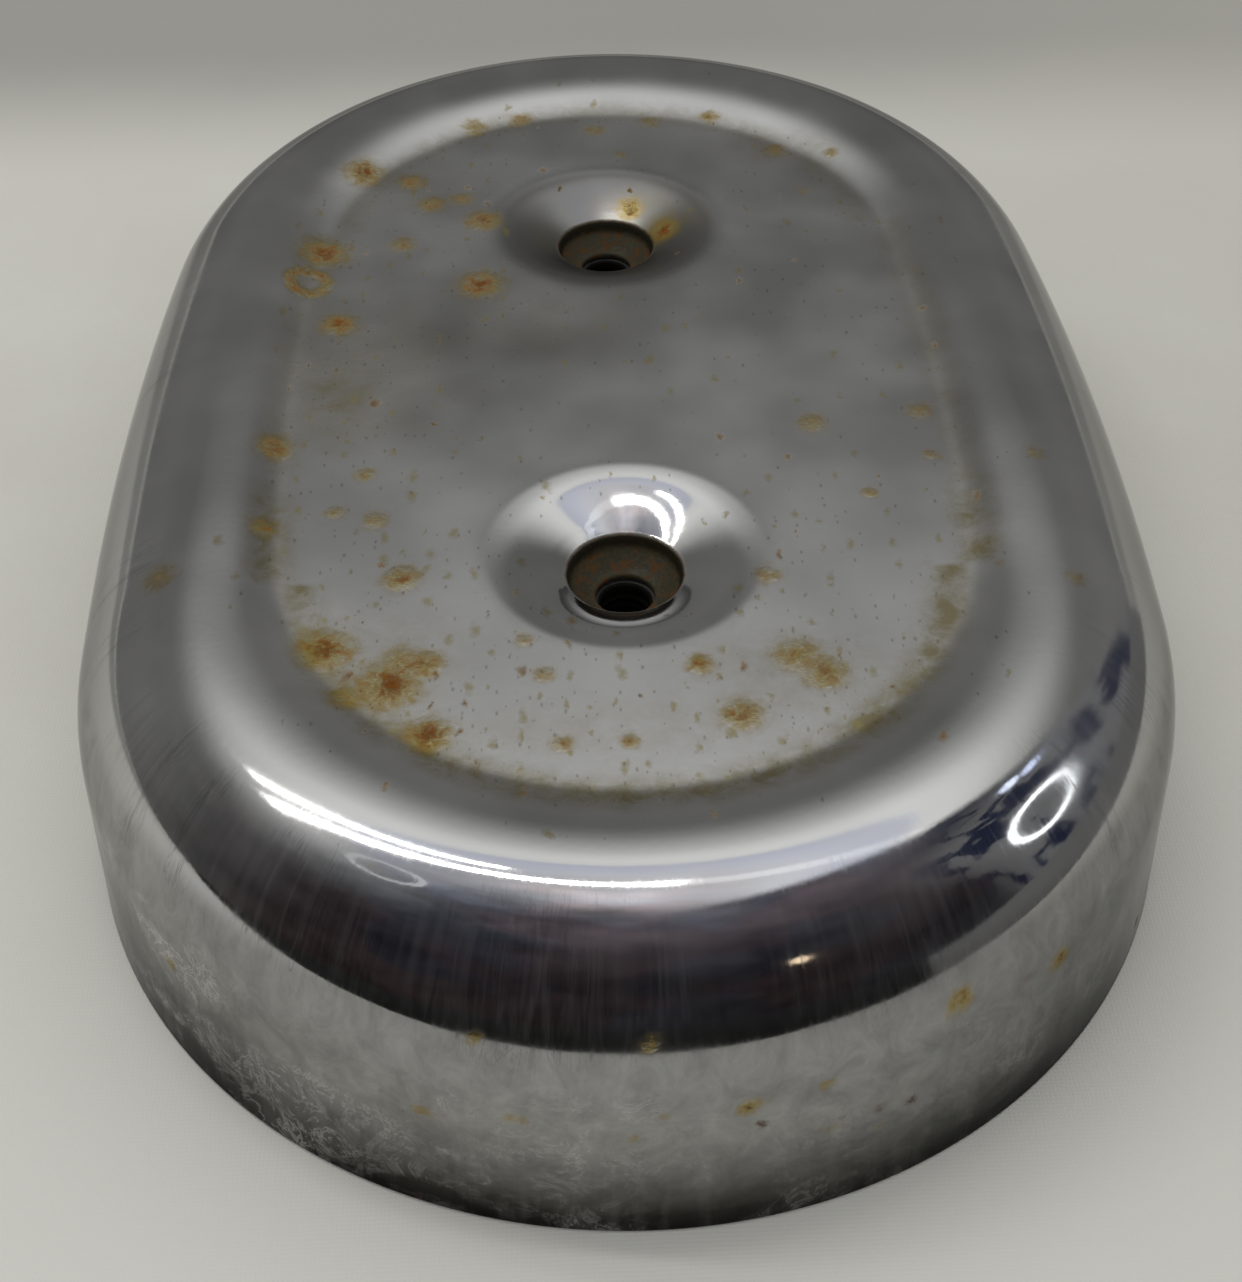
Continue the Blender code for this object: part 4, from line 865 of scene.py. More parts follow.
def hex_rings(flats, z0, z1, at, spin, low=True, high=True):
    """Rings up a hexagon bar, with 30 degree chamfers on the ends asked for."""
    corner = flats / 2 / cos(pi / 6)
    start = flats / 2 * 0.94
    rise = (corner - start) * tan(radians(30))
    steps = [rise * k / 7 for k in range(8)]
    rings = []
    for s in (steps if low else [0.0]):
        rings.append(hex_at(flats, z0 + s, start + s / tan(radians(30)) if low else corner, at, spin))
    for s in (reversed(steps) if high else [0.0]):
        rings.append(hex_at(flats, z1 - s, start + s / tan(radians(30)) if high else corner, at, spin))
    return rings


def thread_rings(r, depth, z0, z1, pitch, at, inside=False, n=72):
    """Rings whose radius follows a helical vee, fading out at both ends."""
    count = max(4, int(abs(z1 - z0) / (pitch / 6)))
    rings = []
    for j in range(count + 1):
        z = z0 + (z1 - z0) * j / count
        fade = min(1.0, abs(z - z0) / pitch, abs(z1 - z) / pitch)
        ring = []
        for k in range(n):
            f = abs(2 * ((z / pitch - k / n) % 1.0) - 1)
            rr = r + depth * fade * f * (1 if inside else -1)
            ring.append((at[0] + rr * cos(2 * pi * k / n), at[1] + rr * sin(2 * pi * k / n), z))
        rings.append(ring)
    return rings


def cap(bm, row):
    bm.faces.new(row)


def turned_piece(name, section, at, mat, body, nodes, n=72, angle=38.0):
    bm = bmesh.new()
    add_rings(bm, [circle_at(r, z, at, n) for r, z in section], closed=True)
    return piece(name, bm, mat, body, nodes, angle)


def region(bm, loops, flip):
    """Fill the flat area inside the first loop and outside the rest (loops of existing verts)."""
    co, verts, edges = [], [], []
    for loop in loops:
        start = len(co)
        co += [Vector((v.co.x, v.co.y)) for v in loop]
        verts += loop
        edges += [(start + k, start + (k + 1) % len(loop)) for k in range(len(loop))]
    polys = [np.array([(v.co.x, v.co.y) for v in loop]) for loop in loops]

    def inside(poly, x, y):
        a, b = poly, np.roll(poly, -1, axis=0)
        cross = (a[:, 1] > y) != (b[:, 1] > y)
        with np.errstate(divide="ignore", invalid="ignore"):
            xs = (b[:, 0] - a[:, 0]) * (y - a[:, 1]) / (b[:, 1] - a[:, 1]) + a[:, 0]
        return int((cross & (x < xs)).sum()) % 2 == 1

    out_co, _, faces, orig_v = delaunay_2d_cdt(co, edges, [], 0, 1e-5)[:4]
    ids = [o[0] for o in orig_v]
    for f in faces:
        x = sum(out_co[i].x for i in f) / len(f)
        y = sum(out_co[i].y for i in f) / len(f)
        if inside(polys[0], x, y) and not any(inside(p, x, y) for p in polys[1:]):
            idx = [ids[i] for i in (reversed(f) if flip else f)]
            bm.faces.new([verts[i] for i in idx])


def bridge(bm, a, b):
    n = len(a)
    for k in range(n):
        bm.faces.new((a[k], a[(k + 1) % n], b[(k + 1) % n], b[k]))


def elem_ring(inset, z, n_side=40, n_end=84):
    return [(x, y, z) for x, y, _, _ in outline_rays(ELEM_R - inset, ELEM_C, ELEM_W - inset, n_side, n_end)]


def plate_ring(inset, z, n_side=40, n_end=84):
    return [(x, y, z) for x, y, _, _ in outline_rays(PLATE_R - inset, PLATE_C, PLATE_W - inset, n_side, n_end)]


# backing plate: beaded, turned down into a skirt, punched
bm = bmesh.new()
bead = [(0.9 + 3.7 * u, 1.2 * sin(pi * u) ** 2) for u in np.linspace(0, 1, 13)]
top = [elem_ring(-g, PLATE_TOP + h) for g, h in bead]
top += [plate_ring(3.6, PLATE_TOP)] + [plate_ring(2.6 * (1 - sin(a)), PLATE_TOP - 2.6 + 2.6 * cos(a)) for a in np.linspace(0, pi / 2, 9)]
edge = [plate_ring(i, z) for i, z in ((0.0, 0.35), (0.08, 0.14), (0.25, 0.03), (0.6, 0.0), (0.95, 0.03), (1.12, 0.14), (1.2, 0.35))]
under = [plate_ring(1.2 + 1.4 * (1 - cos(a)), PLATE_TOP - 2.6 + 1.4 * sin(a)) for a in np.linspace(0, pi / 2, 7)]
under += [plate_ring(3.6, PLATE_TOP - PLATE_T)] + [elem_ring(-g, PLATE_TOP - PLATE_T + h) for g, h in reversed(bead)]
rows = add_rings(bm, top + edge + under)
holes = [((0.0, 0.0), BORE_R + 0.4, 96)] + [(p, 3.3, 40) for p in SCREWS] + [((0.0, s * SEAT_Y), 4.2, 48) for s in (-1, 1)] + [(BREATHER, 7.3, 64)]
upper, lower = [], []
for at, r, n in holes:
    rings = add_rings(bm, [circle_at(r + 0.22, PLATE_TOP, at, n), circle_at(r + 0.05, PLATE_TOP - 0.08, at, n), circle_at(r, PLATE_TOP - 0.25, at, n),
                           circle_at(r, PLATE_TOP - PLATE_T, at, n)])
    upper.append(rings[0])
    lower.append(rings[-1])
region(bm, [rows[0]] + upper, False)
region(bm, [rows[-1]] + lower, True)
piece("pressed_plate", bm, PAINT, "backplate", ["backing_plate"])

# horn: flange and bell in one, with a rolled lip
flange_pts = [(23.0 * cos(2 * pi * k / 96), 23.0 * sin(2 * pi * k / 96)) for k in range(96)]
for x, y in SCREWS:
    flange_pts += [(x + 7.0 * cos(2 * pi * k / 64), y + 7.0 * sin(2 * pi * k / 64)) for k in range(64)]
FLANGE = [flange_pts[i] for i in convex_hull_2d([Vector(p) for p in flange_pts])]


def shrink(loop, d):
    """Move an anticlockwise outline in by d."""
    out = []
    for k, p in enumerate(loop):
        a, b = loop[k - 1], loop[(k + 1) % len(loop)]
        tx, ty = b[0] - a[0], b[1] - a[1]
        length = hypot(tx, ty)
        out.append((p[0] - ty / length * d, p[1] + tx / length * d))
    return out


def plate_between(bm, loops_low, loops_high):
    region(bm, loops_high, False)
    region(bm, loops_low, True)


def lugged_sheet(bm, z0, z1, low_r, high_r, bevel=0.25):
    """The three-lug outline between two heights; returns the rings round its centre hole."""
    outer = add_rings(bm, [[(x, y, z) for x, y in shrink(FLANGE, d)] for d, z in ((bevel, z0), (0.0, z0 + bevel), (0.0, z1 - bevel), (bevel, z1))])
    low, high = [outer[0]], [outer[-1]]
    for p in SCREWS:
        wall = add_rings(bm, [circle_at(3.3, z0, p, 40), circle_at(3.3, z1, p, 40)])
        low.append(wall[0])
        high.append(wall[1])
    inner_low = [bm.verts.new(p) for p in circle_at(low_r, z0, n=96)]
    inner_high = [bm.verts.new(p) for p in circle_at(high_r, z1, n=96)]
    plate_between(bm, low + [inner_low], high + [inner_high])
    return inner_low, inner_high


bm = bmesh.new()
z0, z1 = PLATE_TOP + 0.3, PLATE_TOP + 1.8
inner_low, inner_high = lugged_sheet(bm, z0, z1, BORE_R, 21.0)
fillet = [(21.0 - 1.8 * sin(a), z1 + 1.8 * (1 - cos(a))) for a in np.linspace(0, pi / 2, 8)[1:]]
bell_out = [(19.2 + 6.1 * (1 - cos(pi / 2 * k / 16)), 16.0 + 10.5 * sin(pi / 2 * k / 16)) for k in range(17)]
lip = [(25.3 + 0.72 * sin(a) - 0.02, 27.2 - 0.75 * cos(a)) for a in np.linspace(0.2, pi - 0.2, 9)]
bell_in = [(18.0 + 6.6 * (1 - cos(pi / 2 * k / 18)), 16.0 + 12.0 * sin(pi / 2 * k / 18)) for k in range(18, -1, -1)]
rings = add_rings(bm, [circle_at(r, z, n=96) for r, z in fillet + bell_out + lip + bell_in + [(18.0, 13.6), (18.0, z0 + 0.3)]])
bridge(bm, inner_high, rings[0])
bridge(bm, rings[-1], inner_low)
piece("spun_horn", bm, ALLOY, "backplate", ["intake_horn"])

bm = bmesh.new()
low_ring, high_ring = lugged_sheet(bm, 8.7, 9.7, BORE_R + 0.8, BORE_R + 0.8, 0.1)
bridge(bm, low_ring, high_ring)
piece("fibre_gasket", bm, FIBRE, "backplate", ["carburettor_gasket"])


def split_washer(name, r0, r1, z0, z1, at, open_at, node):
    """A square-section spring washer: cut through and sprung a little apart."""
    section = rounded([(r0, z0), (r1, z0), (r1, z1), (r0, z1)], 0.16, 2)
    bm = bmesh.new()
    rows = []
    n = 56
    for k in range(n + 1):
        u = k / n
        a = open_at + radians(7) + u * (2 * pi - radians(14))
        lean = 0.12 * (u - 0.5)
        rows.append([bm.verts.new((at[0] + r * cos(a), at[1] + r * sin(a), z + lean)) for r, z in section])
    for a, b in zip(rows, rows[1:]):
        bridge(bm, a, b)
    cap(bm, rows[0])
    cap(bm, list(reversed(rows[-1])))
    piece(name, bm, ZINC, "backplate", [node])


# carburettor screws with their spring washers
for k, (x, y) in enumerate(SCREWS, 1):
    spin = radians(SCREW_ANGLES[k - 1] + 12.0 * k)
    split_washer("spring_washer_%d" % k, 3.35, 5.0, 13.3, 14.5, (x, y), spin, "horn_lockwasher_%d" % k)
    bm = bmesh.new()
    head = [circle_at(4.7, 14.8, (x, y)), circle_at(4.75, 15.0, (x, y)), circle_at(4.7, 15.1, (x, y))]
    head += hex_rings(10.0, 15.1, 18.8, (x, y), spin, low=False, high=True)
    head += [circle_at(4.1, 18.8, (x, y)), circle_at(3.7, 18.62, (x, y)), circle_at(1.5, 18.55, (x, y))]
    shank = [circle_at(2.0, 0.95, (x, y)), circle_at(2.3, 1.1, (x, y))] + thread_rings(3.0, 0.42, 1.3, 10.4, 1.0, (x, y)) + [circle_at(3.0, 14.6, (x, y)), circle_at(3.2, 14.8, (x, y))]
    rows = add_rings(bm, shank + head)
    cap(bm, rows[0])
    cap(bm, rows[-1])
    piece("hex_screw_%d" % k, bm, ZINC, "backplate", ["horn_screw_%d" % k])

# cover posts: hexagon bar, tapped on top, studded below
for label, side in (("front", -1), ("rear", 1)):
    at = (0.0, side * SEAT_Y)
    spin = radians(14.0 if side < 0 else 37.0)
    bm = bmesh.new()
    stud = [circle_at(2.9, 1.5, at), circle_at(3.3, 1.65, at)] + thread_rings(3.9, 0.62, 1.9, 10.9, 1.25, at) + [circle_at(3.5, 11.2, at), circle_at(3.5, 11.5, at)]
    body_rings = hex_rings(12.0, 11.5, 32.0, at, spin)
    bore = [circle_at(4.35, 32.0, at), circle_at(3.4, 31.35, at)] + thread_rings(3.3, 0.55, 31.2, 18.6, 1.25, at, inside=True) + [circle_at(3.2, 18.2, at), circle_at(0.8, 16.7, at)]
    rows = add_rings(bm, stud + body_rings + bore)
    cap(bm, rows[0])
    cap(bm, rows[-1])
    bm.faces.ensure_lookup_table()
    for f in bm.faces:                                     # the tapped bore is near-black: old oil, and painted shade down the hole
        c = f.calc_center_median()
        if c.z > 16.0 and hypot(c.x - at[0], c.y - at[1]) < 4.3:
            f.material_index = 1
    post = piece("tapped_post_" + label, bm, ZINC, "backplate", ["cover_post_" + label])
    post.data.materials.append(OILED_AND_SHADED)
    washer = turned_piece("rubber_washer_" + label, rounded([(3.4, 32.06), (6.3, 32.06), (6.3, 33.6), (3.4, 33.6)], (0.2, 0.3, 0.5, 0.4)), at, RUBBER, "backplate", ["post_seal_" + label])
    # painted shade: the washer's inner face round the hole takes the near-black bore finish
    washer.data.materials.append(OILED_AND_SHADED)
    for f in washer.data.polygons:
        if hypot(f.center[0] / MM - at[0], f.center[1] / MM - at[1]) < 4.5:
            f.material_index = 1
    split_washer("stud_washer_" + label, 4.25, 6.6, 8.4, 9.7, at, spin + 0.2, "post_lockwasher_" + label)
    bm = bmesh.new()
    bore = [circle_at(4.75, 8.1, at), circle_at(4.2, 7.6, at), circle_at(4.2, 3.8, at), circle_at(4.75, 3.3, at)]
    add_rings(bm, hex_rings(13.0, 3.3, 8.1, at, -spin) + bore, closed=True)
    piece("hex_nut_" + label, bm, ZINC, "backplate", ["post_nut_" + label])

# breather: grooved grommet and beaded spigot
turned_piece("breather_bush", rounded([(5.05, 7.4), (8.9, 7.4), (9.2, 9.7), (7.0, 9.7), (7.0, 11.5), (9.2, 11.5), (8.9, 13.6), (5.05, 13.6)],
             (0.5, 0.9, 0.3, 0.3, 0.3, 0.3, 0.9, 0.5)), BREATHER, RUBBER, "backplate", ["breather_grommet"])
turned_piece("breather_spigot", rounded([(3.5, 0.8), (4.55, 0.8), (5.35, 2.2), (5.35, 3.0), (4.75, 3.6), (4.75, 13.9), (5.65, 14.4), (5.65, 15.1), (4.75, 15.6), (4.75, 21.0), (3.5, 21.0)],
             (0.2, 0.3, 0.3, 0.3, 0.3, 0.2, 0.3, 0.3, 0.2, 0.4, 0.3)), BREATHER, ZINC, "backplate", ["breather_tube"])


# filter element
def element_piece(name, section, mat, node):
    bm = bmesh.new()
    add_rings(bm, [elem_ring(i, z, 48, 96) for i, z in section], closed=True)
    return piece(name, bm, mat, "element", [node], angle=50.0)


D = ELEM_D
ribbed = [(0.4, 0.0), (0.4, 1.5), (1.9, 1.5), (2.8, 2.0), (3.7, 1.5), (6.5, 1.5), (7.4, 2.0), (8.3, 1.5), (9.8, 1.5), (9.8, 0.0)]
element_piece("top_gasket", rounded([(i, 39.4 + h) for i, h in ribbed], 0.35, 3), RUBBER, "element_top_seal")
element_piece("bottom_gasket", rounded([(i, 13.5 - h) for i, h in ribbed], 0.35, 3), RUBBER, "element_bottom_seal")
channel = [(0.0, 0.0), (0.0, 4.2), (0.6, 4.2), (0.6, 0.6), (D - 0.6, 0.6), (D - 0.6, 4.2), (D, 4.2), (D, 0.0)]
radii = (1.3, 0.25, 0.25, 0.7, 0.7, 0.25, 0.25, 1.3)
element_piece("top_channel", rounded([(i, 39.1 - h) for i, h in channel], radii, 5), GALV, "element_top_cap")
element_piece("bottom_channel", rounded([(i, 13.8 + h) for i, h in channel], radii, 5), GALV, "element_bottom_cap")


def outline_walk(inset):
    """Evenly walkable element outline: (length, function of the length giving point and normal)."""
    ring = np.array(outline_rays(ELEM_R - inset, ELEM_C, ELEM_W - inset, 64, 160))
    ring = np.vstack([ring, ring[:1]])
    run = np.concatenate([[0.0], np.cumsum(np.hypot(np.diff(ring[:, 0]), np.diff(ring[:, 1])))])

    def at(s):
        s = s % run[-1]
        return [float(np.interp(s, run, ring[:, k])) for k in range(4)]
    return run[-1], at


def punched_sleeve(name, inset, node):
    """Thin sleeve with five staggered rows of round holes."""
    length, at = outline_walk(inset)
    count = int(round(length / 4.3))
    half = length / (2 * count)
    z0, z1, rows = 14.7, 38.2, 5
    margin = 0.8
    rise = (z1 - z0 - 2 * margin) / (2 * rows)
    bm = bmesh.new()
    known, spots = {}, {}

    def vert(i, j):
        key = (i % (2 * count), j)
        if key not in known:
            x, y, _, _ = at(key[0] * half)
            z = z0 if j < 0 else z1 if j > 2 * rows else z0 + margin + j * rise
            known[key] = bm.verts.new((x, y, z))
        return known[key]

    for r in range(rows):
        for c in range(count):
            i, j = 2 * c + r % 2, 2 * r
            square = [vert(i, j), vert(i + 1, j), vert(i + 2, j), vert(i + 2, j + 1), vert(i + 2, j + 2), vert(i + 1, j + 2), vert(i, j + 2), vert(i, j + 1)]
            hole = []
            for k in range(16):
                a = radians(-135 + 22.5 * k)
                x, y, _, _ = at((i + 1) * half + 1.45 * cos(a))
                hole.append(bm.verts.new((x, y, z0 + margin + (j + 1) * rise + 1.45 * sin(a))))
            for k in range(8):
                b, d = square[k], square[(k + 1) % 8]
                bm.faces.new((b, d, hole[(2 * k + 2) % 16], hole[2 * k + 1]))
                bm.faces.new((b, hole[2 * k + 1], hole[2 * k]))
    for i in range(2 * count):
        bm.faces.new((vert(i, -1), vert(i + 1, -1), vert(i + 1, 0), vert(i, 0)))
        bm.faces.new((vert(i, 2 * rows), vert(i + 1, 2 * rows), vert(i + 1, 2 * rows + 1), vert(i, 2 * rows + 1)))
    obj = piece(name, bm, GALV, "element", [node], angle=50.0)
    mod = obj.modifiers.new("sheet", "SOLIDIFY")
    mod.thickness = 0.5 * MM
    mod.offset = 0.0
    return obj


punched_sleeve("outer_sleeve", 1.15, "element_outer_screen")
punched_sleeve("inner_sleeve", D - 1.15, "element_inner_screen")

# pleated paper
bm = bmesh.new()
length, at = outline_walk(0.0)
folds, per = 104, 14
levels = np.linspace(14.75, 38.15, 7)
grid, depths = [], []
for z in levels:
    row = []
    for k in range(folds * per):
        t = k / per
        wob = noise.noise(Vector((t * 0.7, z * 0.06, 3.0))) * 0.28
        wave_k = asin(0.985 * cos(2 * pi * t)) / asin(0.985)
        depth = 5.1 - 2.95 * wave_k
        x, y, nx, ny = at((t + wob * 0.35) * length / folds)
        row.append(bm.verts.new((x - nx * depth, y - ny * depth, z)))
    grid.append(row)
depths = [0.5 + 0.5 * asin(0.985 * cos(2 * pi * k / per)) / asin(0.985) for _ in levels for k in range(folds * per)]
for a, b in zip(grid, grid[1:]):
    bridge(bm, a, b)
paper = piece("pleated_paper", bm, PAPER, "element", ["element_media"], angle=75.0)
paper.data.attributes.new("fold", "FLOAT", "POINT").data.foreach_set("value", np.array(depths, np.float32))
mod = paper.modifiers.new("sheet", "SOLIDIFY")
mod.thickness = 0.4 * MM
mod.offset = 0.0

# ------------------------------------------------------------------ stage
def emission_material(name, colour, strength):
    mat = new_material(name)
    n = mat.node_tree.nodes.new("ShaderNodeEmission")
    n.inputs["Color"].default_value = (*colour, 1.0)
    n.inputs["Strength"].default_value = strength
    out = mat.node_tree.nodes.new("ShaderNodeOutputMaterial")
    mat.node_tree.links.new(n.outputs[0], out.inputs["Surface"])
    return mat


def stage_object(name, mesh, mat, camera=False, diffuse=False, shadow=False):
    obj = bpy.data.objects.new(name, mesh)
    scene.collection.objects.link(obj)
    mesh.materials.append(mat)
    obj.visible_camera = camera
    obj.visible_diffuse = diffuse
    obj.visible_shadow = shadow
    obj.visible_transmission = camera
    obj.visible_volume_scatter = False
    return obj


def floor_material():
    mat = new_material("pale_cloth")
    t = Tree(mat.node_tree)
    p = t.vmath("SCALE", t.coords(), 1000.0)
    x, y, _ = t.split(p)
    weave = t.node("ShaderNodeTexWave", wave_type="BANDS", bands_direction="X")
    t.put(weave.inputs["Vector"], p)
    weave.inputs["Scale"].default_value = 0.55
    weave.inputs["Distortion"].default_value = 1.2
    weave2 = t.node("ShaderNodeTexWave", wave_type="BANDS", bands_direction="Y")
    t.put(weave2.inputs["Vector"], p)
    weave2.inputs["Scale"].default_value = 0.55
    weave2.inputs["Distortion"].default_value = 1.2
    threads = t.math("MULTIPLY", weave.outputs["Fac"], weave2.outputs["Fac"])
    mottle = t.noise(p, 0.02, 5.0, 0.6)
    fine = t.noise(p, 0.6, 4.0, 0.6)
    # painted shade: a darker band across the floor behind the cover, fading out again far back
    slope = t.math("MULTIPLY", t.remap(t.math("ADD", y, t.math("MULTIPLY", mottle, 20.0)), 145.0, 215.0, smooth=True), t.remap(y, 900.0, 500.0, smooth=True))
    tone = t.mix(t.remap(mottle, 0.3, 0.7), (0.70, 0.69, 0.635), (0.75, 0.745, 0.70))
    tone = t.mix(t.math("MULTIPLY", fine, 0.12), tone, (0.60, 0.59, 0.54))
    tone = t.mix(t.math("MULTIPLY", slope, 0.92), tone, (0.37, 0.366, 0.345))
    # painted light: the floor is paler in front of the cover
    tone = t.mix(t.remap(y, 20.0, -160.0), tone, (0.84, 0.835, 0.80))
    # painted shade: the floor darkens towards the right
    tone = t.mix(t.remap(x, 40.0, 160.0, 0.0, 0.35), tone, (0.56, 0.545, 0.49))
    specks = t.voronoi(p, 0.02)
    tone = t.mix(t.math("MULTIPLY", t.remap(specks, 0.012, 0.006), 0.5), tone, (0.15, 0.13, 0.10))
    height = t.math("ADD", t.math("MULTIPLY", threads, 0.04), t.math("MULTIPLY", t.noise(p, 0.012, 2.0), 3.0))
    t.principled(Base_Color=tone, Roughness=0.92, Normal=t.bump(height, 0.001, 0.5))
    return mat


bm = bmesh.new()
bmesh.ops.create_grid(bm, x_segments=8, y_segments=8, size=6.0)
mesh = bpy.data.meshes.new("floor")
bm.to_mesh(mesh)
bm.free()
floor = stage_object("floor", mesh, floor_material(), camera=True, diffuse=True, shadow=True)
floor.location.z = -0.0002


def strip_light(name, a, b, width, radiance, colour):
    """A long rectangular light from a to b (metres), facing down."""
    a, b = Vector(a), Vector(b)
    data = bpy.data.lights.new(name, "AREA")
    data.shape = "RECTANGLE"
    data.size = (b - a).length
    data.size_y = width
    data.color = colour
    data.energy = radiance * pi * data.size * data.size_y
    obj = bpy.data.objects.new(name, data)
    along = (b - a).normalized()
    side = Vector((0, 0, 1)).cross(along).normalized()
    rot = Matrix((along, side, along.cross(side))).transposed()      # local Z up: it shines down
    obj.matrix_world = Matrix.Translation((a + b) / 2) @ rot.to_4x4()
    obj.visible_camera = False
    scene.collection.objects.link(obj)
    return obj


strip_light("tube_front_left", (-0.83, 0.17, 1.04), (0.08, 0.047, 1.04), 0.060, 10.0, (1.0, 0.985, 0.95))
strip_light("tube_front_right", (0.08, 0.047, 1.04), (0.66, -0.02, 1.04), 0.080, 0.30, (1.0, 0.985, 0.95))
strip_light("tube_rear", (-0.78, 0.33, 1.04), (-0.16, 0.21, 1.04), 0.05, 7.0, (1.0, 0.985, 0.95))


def ring_mesh(name, radius, thick):
    bm = bmesh.new()
    rows = []
    for k in range(64):
        a = 2 * pi * k / 64
        rows.append([bm.verts.new(((radius + thick * cos(b)) * cos(a), (radius + thick * cos(b)) * sin(a), thick * sin(b)))
                     for b in [2 * pi * j / 12 for j in range(12)]])
    for k in range(64):
        for j in range(12):
            bm.faces.new((rows[k][j], rows[(k + 1) % 64][j], rows[(k + 1) % 64][(j + 1) % 12], rows[k][(j + 1) % 12]))
    mesh = bpy.data.meshes.new(name)
    bm.to_mesh(mesh)
    bm.free()
    mesh.shade_smooth()
    return mesh


def ring_lamp(name, centre, target, radius, thick, strength, colour):
    obj = stage_object(name, ring_mesh(name, radius, thick), emission_material(name, colour, strength))
    obj.rotation_mode = "QUATERNION"
    obj.rotation_quaternion = (Vector(target) - Vector(centre)).to_track_quat("Z", "Y")
    obj.location = centre
    return obj


ring_lamp("ring_lamp_right", (0.457, -0.1035, 0.228), (0.048, -0.0887, 0.0398), 0.068, 0.0075, 3.2, (0.95, 0.98, 1.0))
ring_lamp("ring_lamp_left", (-0.41, -0.148, 0.75), (-0.05, -0.075, 0.04), 0.070, 0.009, 0.75, (0.95, 0.98, 1.0))

# dark edge of the room beyond the table, seen only in the chrome
for label, path, glow in (("front", [(-2.5, -0.36), (0.16, -0.36), (0.25, -0.284)], 0.02), ("right", [(0.25, -0.284), (0.29, -0.25), (0.31, 0.13)], 0.15)):
    bm = bmesh.new()
    low = [bm.verts.new((x, y, -0.001)) for x, y in path]
    high = [bm.verts.new((x, y, 0.06)) for x, y in path]
    for k in range(len(path) - 1):
        bm.faces.new((low[k], low[k + 1], high[k + 1], high[k]))
    mesh = bpy.data.meshes.new("room_edge_" + label)
    bm.to_mesh(mesh)
    bm.free()
    stage_object("room_edge_" + label, mesh, emission_material("room_edge_" + label, (1.0, 0.98, 0.96), glow))


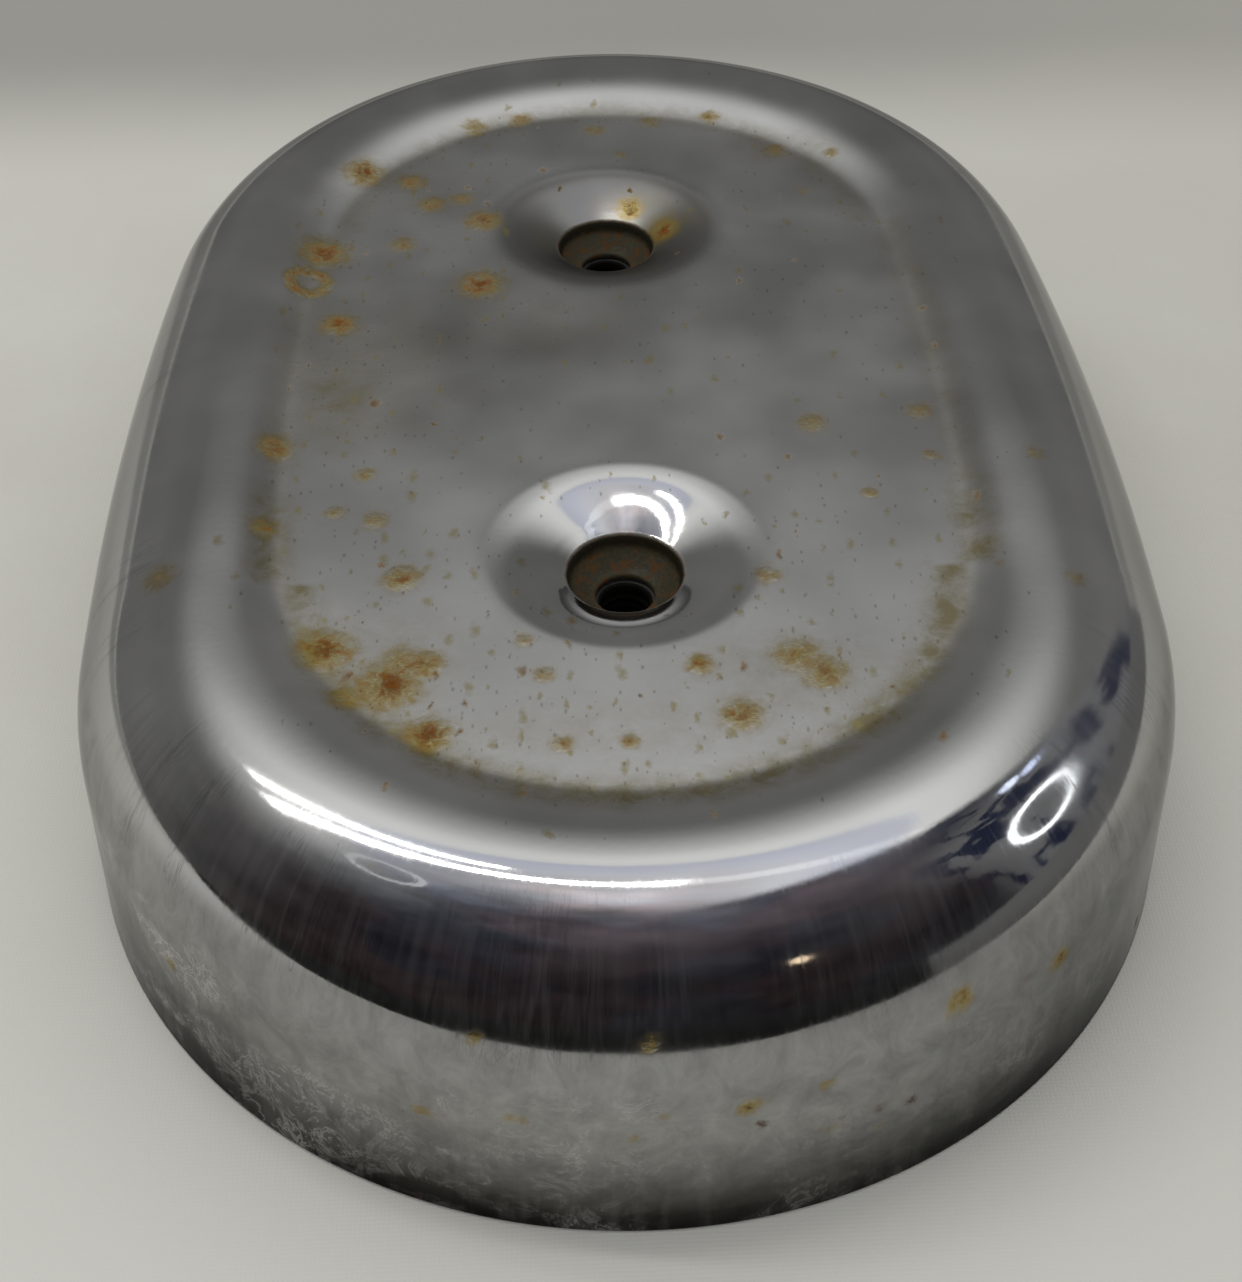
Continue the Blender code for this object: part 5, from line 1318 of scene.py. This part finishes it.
def build_world():
    world = bpy.data.worlds.new("room")
    scene.world = world
    world.use_nodes = True
    world.node_tree.nodes.clear()
    t = Tree(world.node_tree)
    d = t.node("ShaderNodeTexCoord").outputs["Generated"]
    x, y, z = t.split(d)
    pale = t.ramp(z, [(0.0, (0.178, 0.176, 0.168)), (0.30, (0.174, 0.172, 0.165)), (0.45, (0.155, 0.154, 0.148)), (0.56, (0.155, 0.154, 0.148)),
                      (0.61, (0.20, 0.199, 0.193)), (0.66, (0.31, 0.31, 0.30)), (0.71, (0.50, 0.50, 0.485)), (0.76, (0.70, 0.70, 0.68)),
                      (0.80, (0.88, 0.88, 0.855)), (0.84, (1.0, 1.0, 0.97)), (0.87, (1.0, 1.0, 0.97)), (0.89, (0.72, 0.75, 0.85)),
                      (0.93, (0.82, 0.85, 0.95)), (0.965, (0.95, 0.96, 1.0)), (1.0, (1.0, 1.0, 1.0))])
    dark = t.ramp(z, [(0.0, (0.020, 0.018, 0.018)), (0.5, (0.018, 0.016, 0.018)), (0.60, (0.022, 0.020, 0.023)), (0.74, (0.032, 0.030, 0.036)),
                      (0.80, (0.045, 0.044, 0.052)), (0.86, (0.066, 0.066, 0.078)), (0.925, (0.085, 0.085, 0.10)), (0.954, (0.10, 0.10, 0.115)),
                      (0.975, (0.15, 0.15, 0.165)), (0.99, (0.38, 0.38, 0.39)), (1.0, (0.90, 0.90, 0.90))])
    smear = t.noise(d, 5.0, 2.0, 0.6)
    right = t.math("ADD", t.math("MULTIPLY", x, -0.398), t.math("ADD", t.math("MULTIPLY", y, 0.59), t.math("MULTIPLY", z, 0.204)))
    right = t.remap(right, -0.015, 0.05, smooth=True)
    left = t.remap(t.math("ADD", y, t.math("MULTIPLY", t.math("SUBTRACT", smear, 0.5), 0.25)), -0.45, 0.6, smooth=True)
    back = t.mixf(t.remap(x, 0.02, 0.32, smooth=True), left, right)
    tint = t.mix(t.remap(t.noise(d, 3.2, 1.0), 0.45, 0.62), (1.16, 0.90, 0.90), (0.88, 0.96, 1.10))
    room = t.mix(1.0, dark, tint, "MULTIPLY")
    room = t.mix(1.0, room, t.mix(t.remap(smear, 0.35, 0.65), (0.7, 0.7, 0.7), (1.5, 1.5, 1.5)), "MULTIPLY")
    # grey wall at the right, striped by dark blue posts
    posts = t.noise(t.mapping(d, scale=(9.0, 9.0, 2.2), rot=(0.0, 0.5, 0.0)), 1.0, 2.0, 0.6, 0.5)
    grey = t.mix(t.remap(posts, 0.50, 0.56, smooth=True), (0.175, 0.175, 0.178), (0.012, 0.017, 0.042))
    room = t.mix(t.math("MULTIPLY", t.remap(x, 0.55, 0.74, smooth=True), t.remap(y, -0.42, -0.20, smooth=True)), room, grey)
    seen = t.mix(back, room, pale)

    def spot(direction, inner, outer):
        v = Vector(direction).normalized()
        n = t.vmath("DOT_PRODUCT", d, tuple(v))
        return t.remap(n, cos(radians(outer)), cos(radians(inner)), smooth=True)

    def add(layer, mask, colour):
        return t.mix(mask, layer, colour)

    seen = add(seen, spot((0.44, -0.735, 0.515), 1.0, 2.2), (1.6, 1.25, 0.85))
    seen = add(seen, spot((0.70, 0.14, 0.70), 0.8, 2.4), (1.6, 1.75, 2.2))
    seen = add(seen, spot((0.735, 0.19, 0.65), 0.8, 2.4), (1.2, 1.35, 1.8))
    path = t.node("ShaderNodeLightPath")
    glossy, camera = path.outputs["Is Glossy Ray"], path.outputs["Is Camera Ray"]
    soft = t.mix(t.remap(z, -0.1, 0.9), (0.46, 0.455, 0.44), (0.60, 0.60, 0.59))
    view = t.mix(t.remap(z, -0.05, 0.5), (0.56, 0.555, 0.53), (0.66, 0.66, 0.65))
    colour = t.mix(glossy, soft, seen)
    colour = t.mix(camera, colour, view)
    bg = t.node("ShaderNodeBackground")
    t.put(bg.inputs["Color"], colour)
    out = t.node("ShaderNodeOutputWorld")
    world.node_tree.links.new(bg.outputs[0], out.inputs["Surface"])


build_world()
scene.view_settings.view_transform = "Standard"
scene.view_settings.look = "None"
